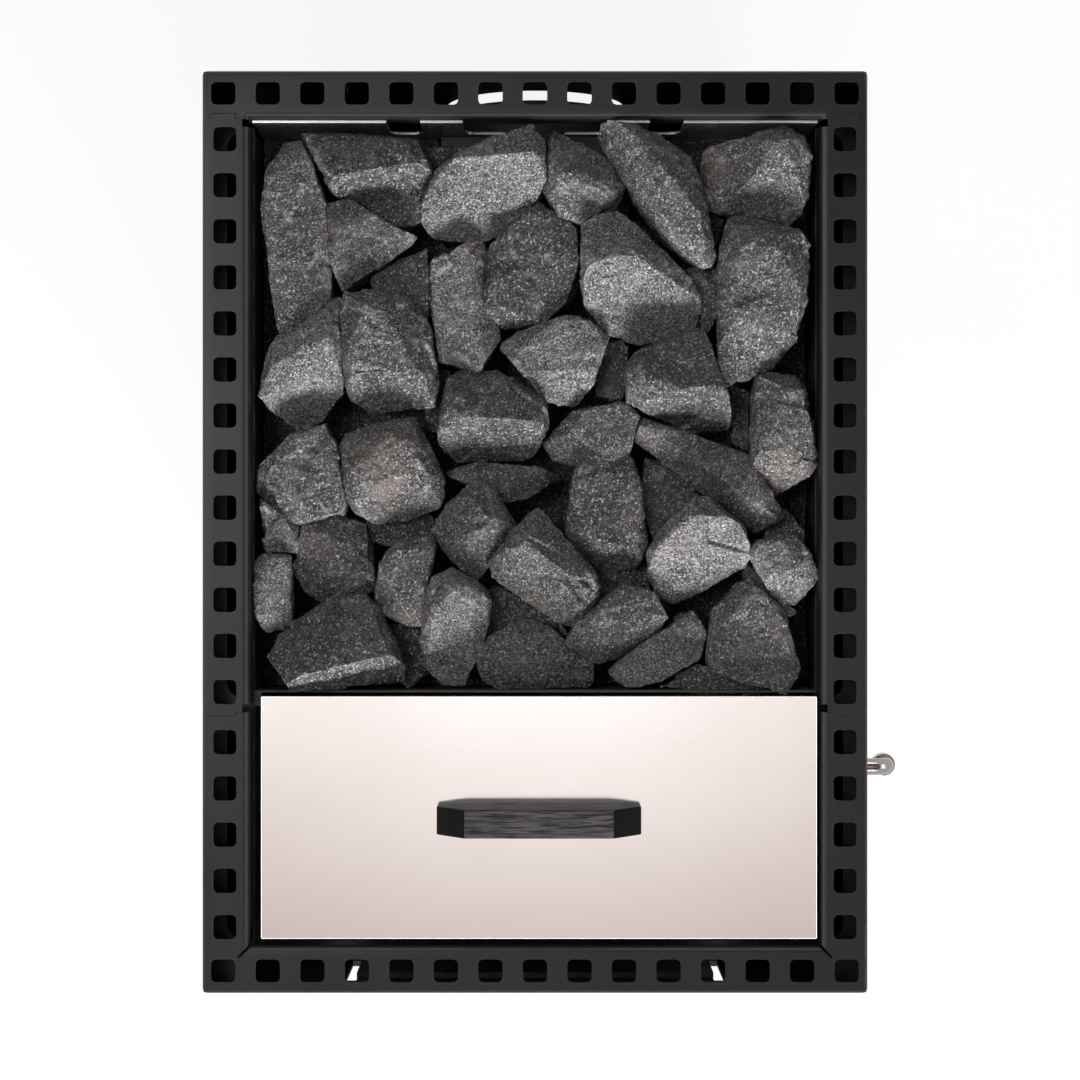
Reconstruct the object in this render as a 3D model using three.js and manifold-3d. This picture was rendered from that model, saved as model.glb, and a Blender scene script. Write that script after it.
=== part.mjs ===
// Wood burning sauna stove with a perforated top rim, open stone bed, front water tank and side tap.
// Millimetres, +Z up, front towards -Y, tap on the +X side.
import * as THREE from "three";
import { ConvexGeometry } from "three/addons/geometries/ConvexGeometry.js";
import { mergeVertices } from "three/addons/utils/BufferGeometryUtils.js";
import Module from "manifold-3d";

const wasm = await Module();
wasm.setup();

// Overall sizes
const WIDTH = 450;
const DEPTH = 624;
const HEIGHT = 800;
const SHEET = 2;
const GAP = 0.3;
const FOOT_HEIGHT = 40;

// Casing modules and their perforated top rim
const RIM = 32;
const RIM_LIP = 30;
const RIM_FLANGE = 22;
const OUTER_BEND = 2.5;
const INNER_BEND = 5;
const CORNER_RADIUS = 3.5;
const FRONT_MODULE = 190.3;
const REAR_MODULE = RIM + 0.8;
const VENT_LONG = 16.5;
const VENT_SHORT = 15.5;
const VENT_RADIUS = 3;
const VENT_INSET = 15.4;
const ROW_VENTS = 15;
const ROW_MARGIN = 14.3;
const SIDE_VENTS = 13;
const SIDE_MARGIN = 13.6;
const CHEEK_VENTS = 5;
const CHEEK_MARGIN_REAR = 20.3;
const CHEEK_MARGIN_FRONT = 45;
const TAB_WIDTH = 17.6;
const TAB_INSET = 5;
const TAB_REAR = 3.5;
const TAB_FRONT = 2.3;
const RELIEF = 5;
const MITRE_SLIT = 1.4;
const SHELF_EDGE = 13;
const SHELF_CORNER = 10;
const END_FLANGE = 14;

// Front aperture and the plate that stands in it
const APERTURE_WIDTH = 261;
const APERTURE_BOTTOM = 52;
const APERTURE_DROP = 50;
const APERTURE_RELIEF = 13;
const PLATE_SIDE_GAP = 6.5;
const PLATE_FLANK_GAP = 0.5;
const PLATE_NOTCH_DROP = 89;
const PLATE_TOP_GAP = 0.5;
const PLATE_UPSTAND = 6;
const PLATE_BOTTOM_GAP = 6;
const PLATE_THICK = 4;
const PLATE_SETBACK = 2;
const RAIL_DROP = 95;
const RAIL_LEG = 18;

// Firebox, ash box and smoke way
const BASE_THICK = 3;
const FIREBOX_WIDTH = 280;
const FIREBOX_BOTTOM = 120;
const FIREBOX_TOP = 420;
const FIREBOX_FRONT_SETBACK = 32;
const FIREBOX_REAR_SETBACK = 107;
const FIREBOX_WALL = 5;
const TOP_PLATE_THICK = 8;
const DOORWAY_MARGIN = 32.5;
const DOORWAY_WIDTH = APERTURE_WIDTH - 2 * DOORWAY_MARGIN;
const DOORWAY_BOTTOM = 192;
const DOORWAY_TOP = 394;
const ASH_MARGIN = 32.5;
const ASH_WIDTH = APERTURE_WIDTH - 2 * ASH_MARGIN;
const ASH_FLOOR = 60;
const ASH_MOUTH_TOP = 142;
const ASH_LENGTH = 420;
const GRATE_WIDTH = 100;
const GRATE_LENGTH = 220;
const GRATE_THICK = 16;
const GRATE_BARS = 4;
const SMOKE_WALL = 4;
const SMOKE_WIDTH = 230;
const SMOKE_HEIGHT = 92;
const RISER_WIDTH = 132;
const RISER_DEPTH = 68;
const FLUE_DROP = 125;
const FLUE_BORE = 116;
const FLUE_WALL = 4;
const FLUE_HOLE_CLEAR = 2.3;
const SOCKET_SETBACK = 8;

// Stone room
const LINER = 1.5;
const REAR_LINER = 2;
const REAR_LINER_DROP = 7;
const DIVIDER_DROP = 18;
const STONE_CLEAR = 0.5;

// Tank, lid and tap
const LID_WIDTH = 376;
const LID_DEPTH = 164;
const LID_SHIFT = 2.7;
const LID_FRONT_GAP = 4.9;
const LID_SKIRT = 14;
const LID_SHEET = 1.5;
const LID_CLEAR = 1.5;
const GRIP_LENGTH = 137;
const GRIP_TOP = 99;
const GRIP_THICK = 19;
const GRIP_HEIGHT = 37;
const GRIP_END = 15;
const TAP_LIFT = 20;
const TAP_REACH = 66;
const TAP_PIPE = 14;
const TAP_BORE = 10;
const TAP_ELBOW = 12;
const TAP_DROP = 28;
const TAP_NOZZLE = 18.4;

// Door
const DOOR_MARGIN = 16.5;
const DOOR_WIDTH = APERTURE_WIDTH - 2 * DOOR_MARGIN;
const DOOR_BOTTOM = 170;
const DOOR_TOP = 416;
const DOOR_THICK = 16;
const DOOR_SEAL = 2;
const DOOR_STILE = 36;
const GLASS_THICK = 4;
const GLASS_LAP = 8;
const HINGE_RADIUS = 6;
const HINGE_PIN = 3;
const HINGE_OFFSET = 9;
const HINGE_TALL = 22;

// Levels and faces that several pieces share
const RIGHT = WIDTH / 2;
const REAR = DEPTH / 2;
const FRONT = -REAR;
const ROOM_X = RIGHT - RIM;
const ROOM_REAR = REAR - RIM;
const ROOM_FRONT = FRONT + RIM;
const REAR_JOINT = REAR - REAR_MODULE;
const FRONT_JOINT = FRONT + FRONT_MODULE;
const LIP_BOTTOM = HEIGHT - RIM_LIP;
const WALL_TOP = LIP_BOTTOM - GAP;
const BASE_TOP = FOOT_HEIGHT + GAP + BASE_THICK;
const WALL_BOTTOM = BASE_TOP + GAP;
const APERTURE_TOP = HEIGHT - APERTURE_DROP;
const PLATE_FRONT = FRONT + PLATE_SETBACK;
const PLATE_REAR = PLATE_FRONT + PLATE_THICK;
const PLATE_HALF = APERTURE_WIDTH / 2 - PLATE_SIDE_GAP;
const PLATE_FLANK = APERTURE_WIDTH / 2 - PLATE_FLANK_GAP;
const PLATE_NOTCH = HEIGHT - PLATE_NOTCH_DROP;
const PLATE_BOTTOM = APERTURE_BOTTOM + PLATE_BOTTOM_GAP;
const PLATE_TOP = APERTURE_TOP - PLATE_TOP_GAP;
const HOT_BOTTOM = FIREBOX_TOP + GAP;
const HOT_TOP = HOT_BOTTOM + TOP_PLATE_THICK;
const STAND = HOT_TOP + GAP;
const FIREBOX_FRONT = FRONT + FIREBOX_FRONT_SETBACK;
const FIREBOX_REAR = REAR - FIREBOX_REAR_SETBACK;
const TANK_REAR_LID = ROOM_FRONT + LID_FRONT_GAP + LID_DEPTH;
const TANK_Y = ROOM_FRONT + LID_FRONT_GAP + LID_DEPTH / 2;
const TANK_HALF_X = LID_WIDTH / 2 - LID_SHEET - LID_CLEAR;
const TANK_HALF_Y = LID_DEPTH / 2 - LID_SHEET - LID_CLEAR;
const TANK_RIM = HEIGHT - LID_SHEET - GAP;
const TANK_RIGHT = LID_SHIFT + TANK_HALF_X;
const TAP_Z = STAND + TAP_LIFT;
const TAP_X = RIGHT + TAP_REACH;
const VALVE_X = RIGHT + 22;
const FLUE_Z = HEIGHT - FLUE_DROP;
const FLUE_OUTER = FLUE_BORE / 2 + FLUE_WALL;
const DIVIDER_FRONT = TANK_REAR_LID + 1.4;
const STONE_FRONT = DIVIDER_FRONT + LINER + GAP;
const STONE_REAR = ROOM_REAR - GAP - REAR_LINER - GAP;
const RISER_REAR = STONE_REAR;
const RISER_FRONT = RISER_REAR - RISER_DEPTH;
const RISER_TOP = FLUE_Z + FLUE_OUTER + 6;

// Solids from plain shapes
function solidOf(geometry) {
  const bare = geometry.clone();
  bare.deleteAttribute("normal");
  bare.deleteAttribute("uv");
  const places = bare.attributes.position.array;
  places.forEach((value, i) => {
    places[i] = Math.round(value * 1000) / 1000;
  });
  const merged = mergeVertices(bare, 1e-4);
  const mesh = new wasm.Mesh({
    numProp: 3,
    vertProperties: merged.attributes.position.array,
    triVerts: new Uint32Array(merged.index.array),
  });
  return new wasm.Manifold(mesh);
}

function block(x0, x1, y0, y1, z0, z1) {
  const geometry = new THREE.BoxGeometry(x1 - x0, y1 - y0, z1 - z0);
  geometry.translate((x0 + x1) / 2, (y0 + y1) / 2, (z0 + z1) / 2);
  return solidOf(geometry);
}

// An outline pushed along one axis: outline axes are (x, y) for z, (x, z) for y and (y, z) for x.
function prism(axis, outline, from, to) {
  const shape = new THREE.Shape(outline.map(([u, v]) => new THREE.Vector2(u, v)));
  const options = { depth: to - from, bevelEnabled: false };
  const geometry = new THREE.ExtrudeGeometry(shape, options);
  if (axis === "z") {
    geometry.translate(0, 0, from);
  }
  if (axis === "y") {
    geometry.rotateX(Math.PI / 2);
    geometry.translate(0, to, 0);
  }
  if (axis === "x") {
    const turn = new THREE.Matrix4().set(0, 0, 1, from, 1, 0, 0, 0, 0, 1, 0, 0, 0, 0, 0, 1);
    geometry.applyMatrix4(turn);
  }
  return solidOf(geometry);
}

// A round bar along one axis; place holds the two other coordinates in x, y, z order.
function bar(axis, radius, from, to, place, sides = 24) {
  const outline = [];
  for (let i = 0; i < sides; i += 1) {
    const angle = (2 * Math.PI * (i + 0.5)) / sides;
    outline.push([place[0] + radius * Math.cos(angle), place[1] + radius * Math.sin(angle)]);
  }
  return prism(axis, outline, from, to);
}

// The outline of a rectangle with rounded corners.
function roundedRect(x0, x1, y0, y1, radius, steps = 2) {
  const centres = [
    [x1 - radius, y0 + radius, -90],
    [x1 - radius, y1 - radius, 0],
    [x0 + radius, y1 - radius, 90],
    [x0 + radius, y0 + radius, 180],
  ];
  return centres.flatMap(([cx, cy, start]) => arc(cx, cy, radius, start, start + 90, steps));
}

// Points on a circular arc, in degrees.
function arc(cx, cy, radius, start, end, steps) {
  const points = [];
  for (let i = 0; i <= steps; i += 1) {
    const angle = THREE.MathUtils.degToRad(start + ((end - start) * i) / steps);
    points.push([cx + radius * Math.cos(angle), cy + radius * Math.sin(angle)]);
  }
  return points;
}

function joined(solids) {
  return solids.reduce((whole, next) => whole.add(next));
}

function without(solid, cutters) {
  return cutters.reduce((rest, cutter) => rest.subtract(cutter), solid);
}

// The largest of the bodies a cut leaves.
function largest(solid) {
  const bodies = solid.decompose();
  return bodies.reduce((best, body) => (body.volume() > best.volume() ? body : best));
}

function mirroredX(solid) {
  return solid.mirror([1, 0, 0]);
}

// Paints and metals
function finish(colour, roughness, metalness) {
  return new THREE.MeshStandardMaterial({ color: colour, roughness, metalness });
}
const COATING = finish(0x454344, 0.55, 0.2);
const BLACK_STEEL = finish(0x2c2b2c, 0.7, 0.4);
const BARE_STEEL = finish(0xb9b9bd, 0.4, 0.9);
const POLISHED = finish(0xd9d3d0, 0.12, 1);
const CHROME = finish(0xc4c2c2, 0.15, 1);
const IRON = finish(0x262627, 0.75, 0.5);
const DARK_WOOD = finish(0x3b3738, 0.65, 0);
const GLASS = finish(0x201d1b, 0.08, 0);
const ROPE = finish(0x8b8880, 0.95, 0);
const STONE = finish(0x6a6868, 0.95, 0);

const stove = new THREE.Group();
stove.name = "sauna_stove";

function add(name, solid, material) {
  const made = solid.getMesh();
  const geometry = new THREE.BufferGeometry();
  geometry.setAttribute("position", new THREE.BufferAttribute(made.vertProperties, 3));
  geometry.setIndex(new THREE.BufferAttribute(made.triVerts, 1));
  geometry.computeVertexNormals();
  const mesh = new THREE.Mesh(geometry, material);
  mesh.name = name;
  stove.add(mesh);
}

// Base plate and feet: the plate carries everything, with two long windows for rising air.
const AIR_WINDOW = [104, 140];
const AIR_WINDOW_HALF = 180;
const baseOutline = roundedRect(-RIGHT, RIGHT, FRONT, REAR, CORNER_RADIUS);
const basePlate = prism("z", baseOutline, FOOT_HEIGHT + GAP, BASE_TOP);
const airWindow = block(...AIR_WINDOW, -AIR_WINDOW_HALF, AIR_WINDOW_HALF, 0, HEIGHT);
add("base_plate", without(basePlate, [airWindow, mirroredX(airWindow)]), BLACK_STEEL);

const FOOT_PAD = 24;
const FOOT_STEM = 11;
const FOOT_IN = 48;
const footProfile = [
  [0, 0],
  [FOOT_PAD - 2, 0],
  [FOOT_PAD, 2],
  [FOOT_PAD, 10],
  [FOOT_STEM, 16],
  [FOOT_STEM, FOOT_HEIGHT],
  [0, FOOT_HEIGHT],
];
for (const [name, sx, sy] of [
  ["foot_front_left", -1, -1],
  ["foot_front_right", 1, -1],
  ["foot_rear_left", -1, 1],
  ["foot_rear_right", 1, 1],
]) {
  const turned = new THREE.LatheGeometry(footProfile.map(([r, z]) => new THREE.Vector2(r, z)), 24);
  turned.rotateX(Math.PI / 2);
  const foot = solidOf(turned).translate([sx * (RIGHT - FOOT_IN), sy * (REAR - FOOT_IN), 0]);
  add(name, foot, BLACK_STEEL);
}

// Casing walls: folded sheet, each with a shelf near the top that carries the rim and lets air through.
const SHELF_BOTTOM = WALL_TOP - SHEET;
const shellOutline = roundedRect(-RIGHT, RIGHT, FRONT, REAR, CORNER_RADIUS);
const hollowOutline = roundedRect(
  -RIGHT + SHEET,
  RIGHT - SHEET,
  FRONT + SHEET,
  REAR - SHEET,
  CORNER_RADIUS - SHEET,
);
const hollow = prism("z", hollowOutline, 0, HEIGHT);

// The shelf window: wide corner radius on the outer side, square against the liner.
function shelfWindow(y0, y1) {
  const outer = -RIGHT + SHELF_EDGE;
  const inner = -ROOM_X - 4;
  const outline = [
    ...arc(outer + SHELF_CORNER, y0 + SHELF_CORNER, SHELF_CORNER, 180, 270, 4),
    [inner, y0],
    [inner, y1],
    ...arc(outer + SHELF_CORNER, y1 - SHELF_CORNER, SHELF_CORNER, 90, 180, 4),
  ];
  return prism("z", outline, SHELF_BOTTOM - 9, WALL_TOP + 9);
}

// An upright flange at a module joint, for the bolts between neighbouring modules.
function endFlange(y0) {
  const inside = -RIGHT + SHEET;
  return block(inside, inside + END_FLANGE, y0, y0 + SHEET, WALL_BOTTOM + 20, SHELF_BOTTOM);
}

const sideFront = FRONT_JOINT + GAP / 2;
const sideRear = REAR_JOINT - GAP / 2;
const sideShelf = block(-RIGHT, -ROOM_X, sideFront, sideRear, SHELF_BOTTOM, WALL_TOP);
const sideWall = joined([
  block(-RIGHT, -RIGHT + SHEET, sideFront, sideRear, WALL_BOTTOM, SHELF_BOTTOM),
  sideShelf.subtract(shelfWindow(sideFront + 8, sideRear - 4)),
  endFlange(sideFront),
  endFlange(sideRear - SHEET),
]);
add("left_side_panel", sideWall, COATING);
add("right_side_panel", mirroredX(sideWall), COATING);

const shell = prism("z", shellOutline, WALL_BOTTOM, SHELF_BOTTOM).subtract(hollow);
const cheekRear = FRONT_JOINT - GAP / 2;
const cheekFlange = endFlange(cheekRear - SHEET);
const frontHalf = block(-RIGHT, RIGHT, FRONT, cheekRear, 0, HEIGHT);
const cheekWindow = shelfWindow(FRONT + RIM, cheekRear - 8);
const frontShelf = without(prism("z", shellOutline, SHELF_BOTTOM, WALL_TOP).intersect(frontHalf), [
  block(-ROOM_X, ROOM_X, FRONT + SHEET, REAR, 0, HEIGHT),
  cheekWindow,
  mirroredX(cheekWindow),
]);
const apertureHalf = APERTURE_WIDTH / 2;
const aperture = block(-apertureHalf, apertureHalf, FRONT - 9, FRONT + 9, APERTURE_BOTTOM, APERTURE_TOP);
const cornerTop = APERTURE_TOP + APERTURE_RELIEF;
const cornerRelief = block(PLATE_HALF, apertureHalf, FRONT - 9, FRONT + 9, APERTURE_TOP - 9, cornerTop);
const tapHole = bar("x", 13, RIGHT - 9, RIGHT + 9, [TANK_Y, TAP_Z]);
const frontWall = joined([shell.intersect(frontHalf), frontShelf, cheekFlange, mirroredX(cheekFlange)]);
const frontCuts = [aperture, cornerRelief, mirroredX(cornerRelief), tapHole];
add("front_casing", without(frontWall, frontCuts), COATING);

const returnFront = REAR_JOINT + GAP / 2;
const returnFlange = endFlange(returnFront);
const rearRib = block(129, 131, REAR - 8, REAR - SHEET, WALL_BOTTOM + 60, SHELF_BOTTOM - 6);
const flueHole = bar("y", FLUE_OUTER + FLUE_HOLE_CLEAR, REAR - 9, REAR + 9, [0, FLUE_Z], 40);
const rearWall = joined([
  prism("z", shellOutline, WALL_BOTTOM, WALL_TOP)
    .subtract(hollow)
    .intersect(block(-RIGHT, RIGHT, returnFront, REAR, 0, HEIGHT)),
  returnFlange,
  mirroredX(returnFlange),
  rearRib,
  mirroredX(rearRib),
]);
add("rear_casing", rearWall.subtract(flueHole), COATING);

// Perforated rim: folded channels whose decks lock together with tabs at the four joints.
function channelOutline() {
  return [
    [0, LIP_BOTTOM],
    ...arc(OUTER_BEND, HEIGHT - OUTER_BEND, OUTER_BEND, 180, 90, 2),
    ...arc(RIM - INNER_BEND, HEIGHT - INNER_BEND, INNER_BEND, 90, 0, 4),
    [RIM, HEIGHT - RIM_FLANGE],
    [RIM - SHEET, HEIGHT - RIM_FLANGE],
    ...arc(RIM - INNER_BEND, HEIGHT - INNER_BEND, INNER_BEND - SHEET, 0, 90, 4),
    [OUTER_BEND, HEIGHT - SHEET],
    [SHEET, HEIGHT - OUTER_BEND],
    [SHEET, LIP_BOTTOM],
  ];
}

// One vent through the deck, a hole with rounded corners about its middle.
function vent(x, y, sizeX, sizeY) {
  const outline = roundedRect(x - sizeX / 2, x + sizeX / 2, y - sizeY / 2, y + sizeY / 2, VENT_RADIUS);
  return prism("z", outline, HEIGHT - 12, HEIGHT + 9);
}

function spaced(first, last, count) {
  return Array.from({ length: count }, (_, i) => first + ((last - first) * i) / (count - 1));
}

const roundCorners = prism("z", shellOutline, LIP_BOTTOM - 9, HEIGHT + 9);
const tabOutline = [-RIGHT + TAB_INSET, -RIGHT + TAB_INSET + TAB_WIDTH];

// The channel section led through stations, each a map from the inward distance to a plan place.
function channelThrough(stations) {
  const section = channelOutline().reverse();
  const outline = section.map(([inward, z]) => new THREE.Vector2(inward, z));
  const count = section.length;
  const points = stations.flatMap((station) => section.map(([inward, z]) => [...station(inward), z]));
  const faces = [];
  for (let i = 0; i + 1 < stations.length; i += 1) {
    for (let j = 0; j < count; j += 1) {
      const a = i * count + j;
      const b = i * count + ((j + 1) % count);
      faces.push([a, b, b + count], [a, b + count, a + count]);
    }
  }
  const last = (stations.length - 1) * count;
  for (const [a, b, c] of THREE.ShapeUtils.triangulateShape(outline, [])) {
    faces.push([a, c, b], [last + a, last + b, last + c]);
  }
  const geometry = new THREE.BufferGeometry();
  geometry.setAttribute("position", new THREE.Float32BufferAttribute(points.flat(), 3));
  geometry.setIndex(faces.flat());
  const solid = solidOf(geometry);
  return solid.volume() > 0 ? solid : solidOf(flipped(geometry));
}

function flipped(geometry) {
  const turned = geometry.clone();
  const index = [...geometry.index.array];
  turned.setIndex(index.map((_, i) => index[i - (i % 3) + 2 - (i % 3)]));
  return turned;
}

// A frame of one full row and two returns, mitred at the corners; sign is 1 for the rear frame.
function rimFrame(sign, joint) {
  const outer = sign * REAR;
  const frame = channelThrough([
    (inward) => [-RIGHT + inward, joint],
    (inward) => [-RIGHT + inward, outer - sign * inward],
    (inward) => [RIGHT - inward, outer - sign * inward],
    (inward) => [RIGHT - inward, joint],
  ]);
  return frame.intersect(roundCorners);
}

const rowPlaces = spaced(-RIGHT + ROW_MARGIN, RIGHT - ROW_MARGIN, ROW_VENTS);
const cheekPlaces = spaced(FRONT_JOINT - CHEEK_MARGIN_REAR, FRONT + CHEEK_MARGIN_FRONT, CHEEK_VENTS);
const sidePlaces = spaced(REAR_JOINT - SIDE_MARGIN, FRONT_JOINT + SIDE_MARGIN, SIDE_VENTS);
const ventX = RIGHT - VENT_INSET;

function tabSlot(y0, y1) {
  return block(tabOutline[0] - GAP, tabOutline[1] + GAP, y0, y1, HEIGHT - 4, HEIGHT + 4);
}

const frontSlot = tabSlot(FRONT_JOINT - TAB_FRONT - GAP, FRONT_JOINT + 9);
const slitOutline = [
  [-ROOM_X - 7, ROOM_FRONT - 7 - MITRE_SLIT],
  [-ROOM_X + 2, ROOM_FRONT + 2 - MITRE_SLIT],
  [-ROOM_X + 2 - MITRE_SLIT, ROOM_FRONT + 2],
  [-ROOM_X - 7 - MITRE_SLIT, ROOM_FRONT - 7],
];
const mitreSlit = prism("z", slitOutline, HEIGHT - RIM_FLANGE - 9, HEIGHT + 9);
const frontVents = rowPlaces.map((x) => vent(x, FRONT + VENT_INSET, VENT_LONG, VENT_SHORT));
const cheekVents = cheekPlaces.flatMap((y) => [
  vent(-ventX, y, VENT_SHORT, VENT_LONG),
  vent(ventX, y, VENT_SHORT, VENT_LONG),
]);
const frontFrame = without(rimFrame(-1, cheekRear), [
  ...frontVents,
  ...cheekVents,
  frontSlot,
  mirroredX(frontSlot),
  mitreSlit,
  mirroredX(mitreSlit),
]);
add("front_rim_frame", frontFrame, COATING);

const rearSlot = tabSlot(REAR_JOINT - 9, REAR_JOINT + TAB_REAR + GAP);
const rearVents = rowPlaces.map((x) => vent(x, REAR - VENT_INSET, VENT_LONG, VENT_SHORT));
const rearFrame = without(rimFrame(1, returnFront), [...rearVents, rearSlot, mirroredX(rearSlot)]);
add("rear_rim_frame", rearFrame, COATING);

function deckTab(y0, y1) {
  return block(...tabOutline, y0, y1, HEIGHT - SHEET, HEIGHT);
}
// A square corner cut from the inner bend, so that the channel's end can be folded.
function bendRelief(y0, y1) {
  return block(-ROOM_X - RELIEF, -ROOM_X + 9, y0, y1, LIP_BOTTOM, HEIGHT + 9);
}
const reliefRear = bendRelief(sideRear - RELIEF, sideRear + 9);
const reliefFront = bendRelief(sideFront - 9, sideFront + RELIEF);
const sideRun = channelThrough([
  (inward) => [-RIGHT + inward, sideFront],
  (inward) => [-RIGHT + inward, sideRear],
]);
const sideRim = without(
  joined([
    sideRun,
    deckTab(sideRear, REAR_JOINT + TAB_REAR),
    deckTab(FRONT_JOINT - TAB_FRONT, sideFront),
  ]),
  [reliefRear, reliefFront, ...sidePlaces.map((y) => vent(-ventX, y, VENT_SHORT, VENT_LONG))],
);
add("left_rim_channel", sideRim, COATING);
add("right_rim_channel", mirroredX(sideRim), COATING);

// Stone room: liners on the hot plate, a bright steel rear sheet and a divider towards the tank.
const LINER_TOP = WALL_TOP - SHEET - GAP;
const linerFront = PLATE_REAR + GAP + RAIL_LEG + GAP;
const linerPlate = block(-ROOM_X - LINER, -ROOM_X, linerFront, ROOM_REAR - 6, STAND, LINER_TOP);
const linerTapHole = bar("x", 19, ROOM_X - 9, ROOM_X + 9, [TANK_Y, TAP_Z]);
add("left_liner", linerPlate, BLACK_STEEL);
add("right_liner", mirroredX(linerPlate).subtract(linerTapHole), BLACK_STEEL);

const rearLinerY = [ROOM_REAR - GAP - REAR_LINER, ROOM_REAR - GAP];
const rearLinerTop = HEIGHT - REAR_LINER_DROP;
const NOTCH_DEPTH = 45;
const MIDDLE_NOTCH = [-49, 49];
const SIDE_NOTCH = [78, 101];
function topNotch(x0, x1) {
  const outline = roundedRect(x0, x1, rearLinerTop - NOTCH_DEPTH, rearLinerTop + 30, 7, 3);
  return prism("y", outline, STONE_REAR - 9, REAR);
}
const sideNotch = topNotch(...SIDE_NOTCH);
const rearLiner = block(-ROOM_X + 1, ROOM_X - 1, ...rearLinerY, STAND, rearLinerTop);
const linerFlueHole = bar("y", FLUE_OUTER + 14, STONE_REAR - 9, REAR, [0, FLUE_Z], 40);
const linerCuts = [topNotch(...MIDDLE_NOTCH), sideNotch, mirroredX(sideNotch), linerFlueHole];
add("rear_liner", without(rearLiner, linerCuts), BARE_STEEL);

const dividerTop = HEIGHT - DIVIDER_DROP;
const DIVIDER_EAR = 9;
const dividerHalf = ROOM_X - 1;
const earFront = DIVIDER_FRONT - DIVIDER_EAR;
const divider = joined([
  block(-dividerHalf, dividerHalf, DIVIDER_FRONT, DIVIDER_FRONT + LINER, STAND, dividerTop),
  block(-dividerHalf, 5 - dividerHalf, earFront, DIVIDER_FRONT, dividerTop - 12, dividerTop),
]);
add("tank_divider", divider, BLACK_STEEL);

// Firebox: welded steel box with a door neck, closed by the thick hot plate.
const fireHalf = FIREBOX_WIDTH / 2;
const fireBottom = FIREBOX_BOTTOM + GAP;
const fireFloor = fireBottom + FIREBOX_WALL;
const neckHalf = DOORWAY_WIDTH / 2;
const GRATE_FRONT = -150;
const GRATE_SEAT = 10;
const grateHalf = GRATE_WIDTH / 2;
const grateRear = GRATE_FRONT + GRATE_LENGTH;
const fireOuter = joined([
  block(-fireHalf, fireHalf, FIREBOX_FRONT, FIREBOX_REAR, fireBottom, FIREBOX_TOP),
  block(
    -neckHalf - FIREBOX_WALL,
    neckHalf + FIREBOX_WALL,
    PLATE_REAR + GAP,
    FIREBOX_FRONT + 1,
    DOORWAY_BOTTOM - FIREBOX_WALL,
    DOORWAY_TOP + FIREBOX_WALL,
  ),
]);
const fireInner = [
  block(
    -fireHalf + FIREBOX_WALL,
    fireHalf - FIREBOX_WALL,
    FIREBOX_FRONT + FIREBOX_WALL,
    FIREBOX_REAR - FIREBOX_WALL,
    fireFloor,
    FIREBOX_TOP + 9,
  ),
  block(-neckHalf, neckHalf, FRONT, FIREBOX_FRONT + 9, DOORWAY_BOTTOM, DOORWAY_TOP),
  block(
    -grateHalf + GRATE_SEAT,
    grateHalf - GRATE_SEAT,
    GRATE_FRONT + GRATE_SEAT,
    grateRear - GRATE_SEAT,
    0,
    fireFloor + 9,
  ),
];
add("firebox", without(fireOuter, fireInner), BLACK_STEEL);

const GRATE_END = 16;
const GRATE_SLOT = 12;
const grateOutline = roundedRect(-grateHalf, grateHalf, GRATE_FRONT, grateRear, 6);
const gratePitch = (GRATE_WIDTH - 2 * GRATE_SEAT) / GRATE_BARS;
const lastSlot = grateHalf - GRATE_SEAT - gratePitch / 2;
const grate = prism("z", grateOutline, fireFloor + GAP, fireFloor + GAP + GRATE_THICK);
const grateSlots = spaced(-lastSlot, lastSlot, GRATE_BARS).map((x) => {
  const half = GRATE_SLOT / 2;
  return block(x - half, x + half, GRATE_FRONT + GRATE_END, grateRear - GRATE_END, 0, HEIGHT);
});
add("grate", without(grate, grateSlots), IRON);

const FLAME_HOLE = { half: 90, front: -55, rear: 15 };
const SMOKE_FRONT = -72;
const flameHole = block(-FLAME_HOLE.half, FLAME_HOLE.half, FLAME_HOLE.front, FLAME_HOLE.rear, 0, HEIGHT);
const hotPlate = block(-ROOM_X - 3, ROOM_X + 3, ROOM_FRONT - 12, ROOM_REAR - 1, HOT_BOTTOM, HOT_TOP);
add("hot_plate", hotPlate.subtract(flameHole), IRON);

// Smoke box: flat chamber over the flame hole and a riser up to the flue, open below.
function smokeShell(inset) {
  return joined([
    block(
      -SMOKE_WIDTH / 2 + inset,
      SMOKE_WIDTH / 2 - inset,
      SMOKE_FRONT + inset,
      RISER_FRONT + 2,
      STAND - (inset ? 9 : 0),
      STAND + SMOKE_HEIGHT - inset,
    ),
    block(
      -RISER_WIDTH / 2 + inset,
      RISER_WIDTH / 2 - inset,
      RISER_FRONT - (inset ? 9 : 0),
      RISER_REAR - inset,
      STAND - (inset ? 9 : 0),
      RISER_TOP - inset,
    ),
  ]);
}
const flueMouth = bar("y", FLUE_BORE / 2, RISER_REAR - 20, REAR, [0, FLUE_Z], 40);
const smokeBox = smokeShell(0).subtract(smokeShell(SMOKE_WALL)).subtract(flueMouth);
add("smoke_box", smokeBox, BLACK_STEEL);

const socketStart = RISER_REAR + GAP;
const socketTube = joined([
  bar("y", FLUE_OUTER, socketStart, REAR - SOCKET_SETBACK, [0, FLUE_Z], 40),
  bar("y", FLUE_OUTER + 5, socketStart, socketStart + 3, [0, FLUE_Z], 40),
]);
add("flue_socket", socketTube.subtract(bar("y", FLUE_BORE / 2, 0, REAR + 9, [0, FLUE_Z], 40)), BLACK_STEEL);

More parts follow.
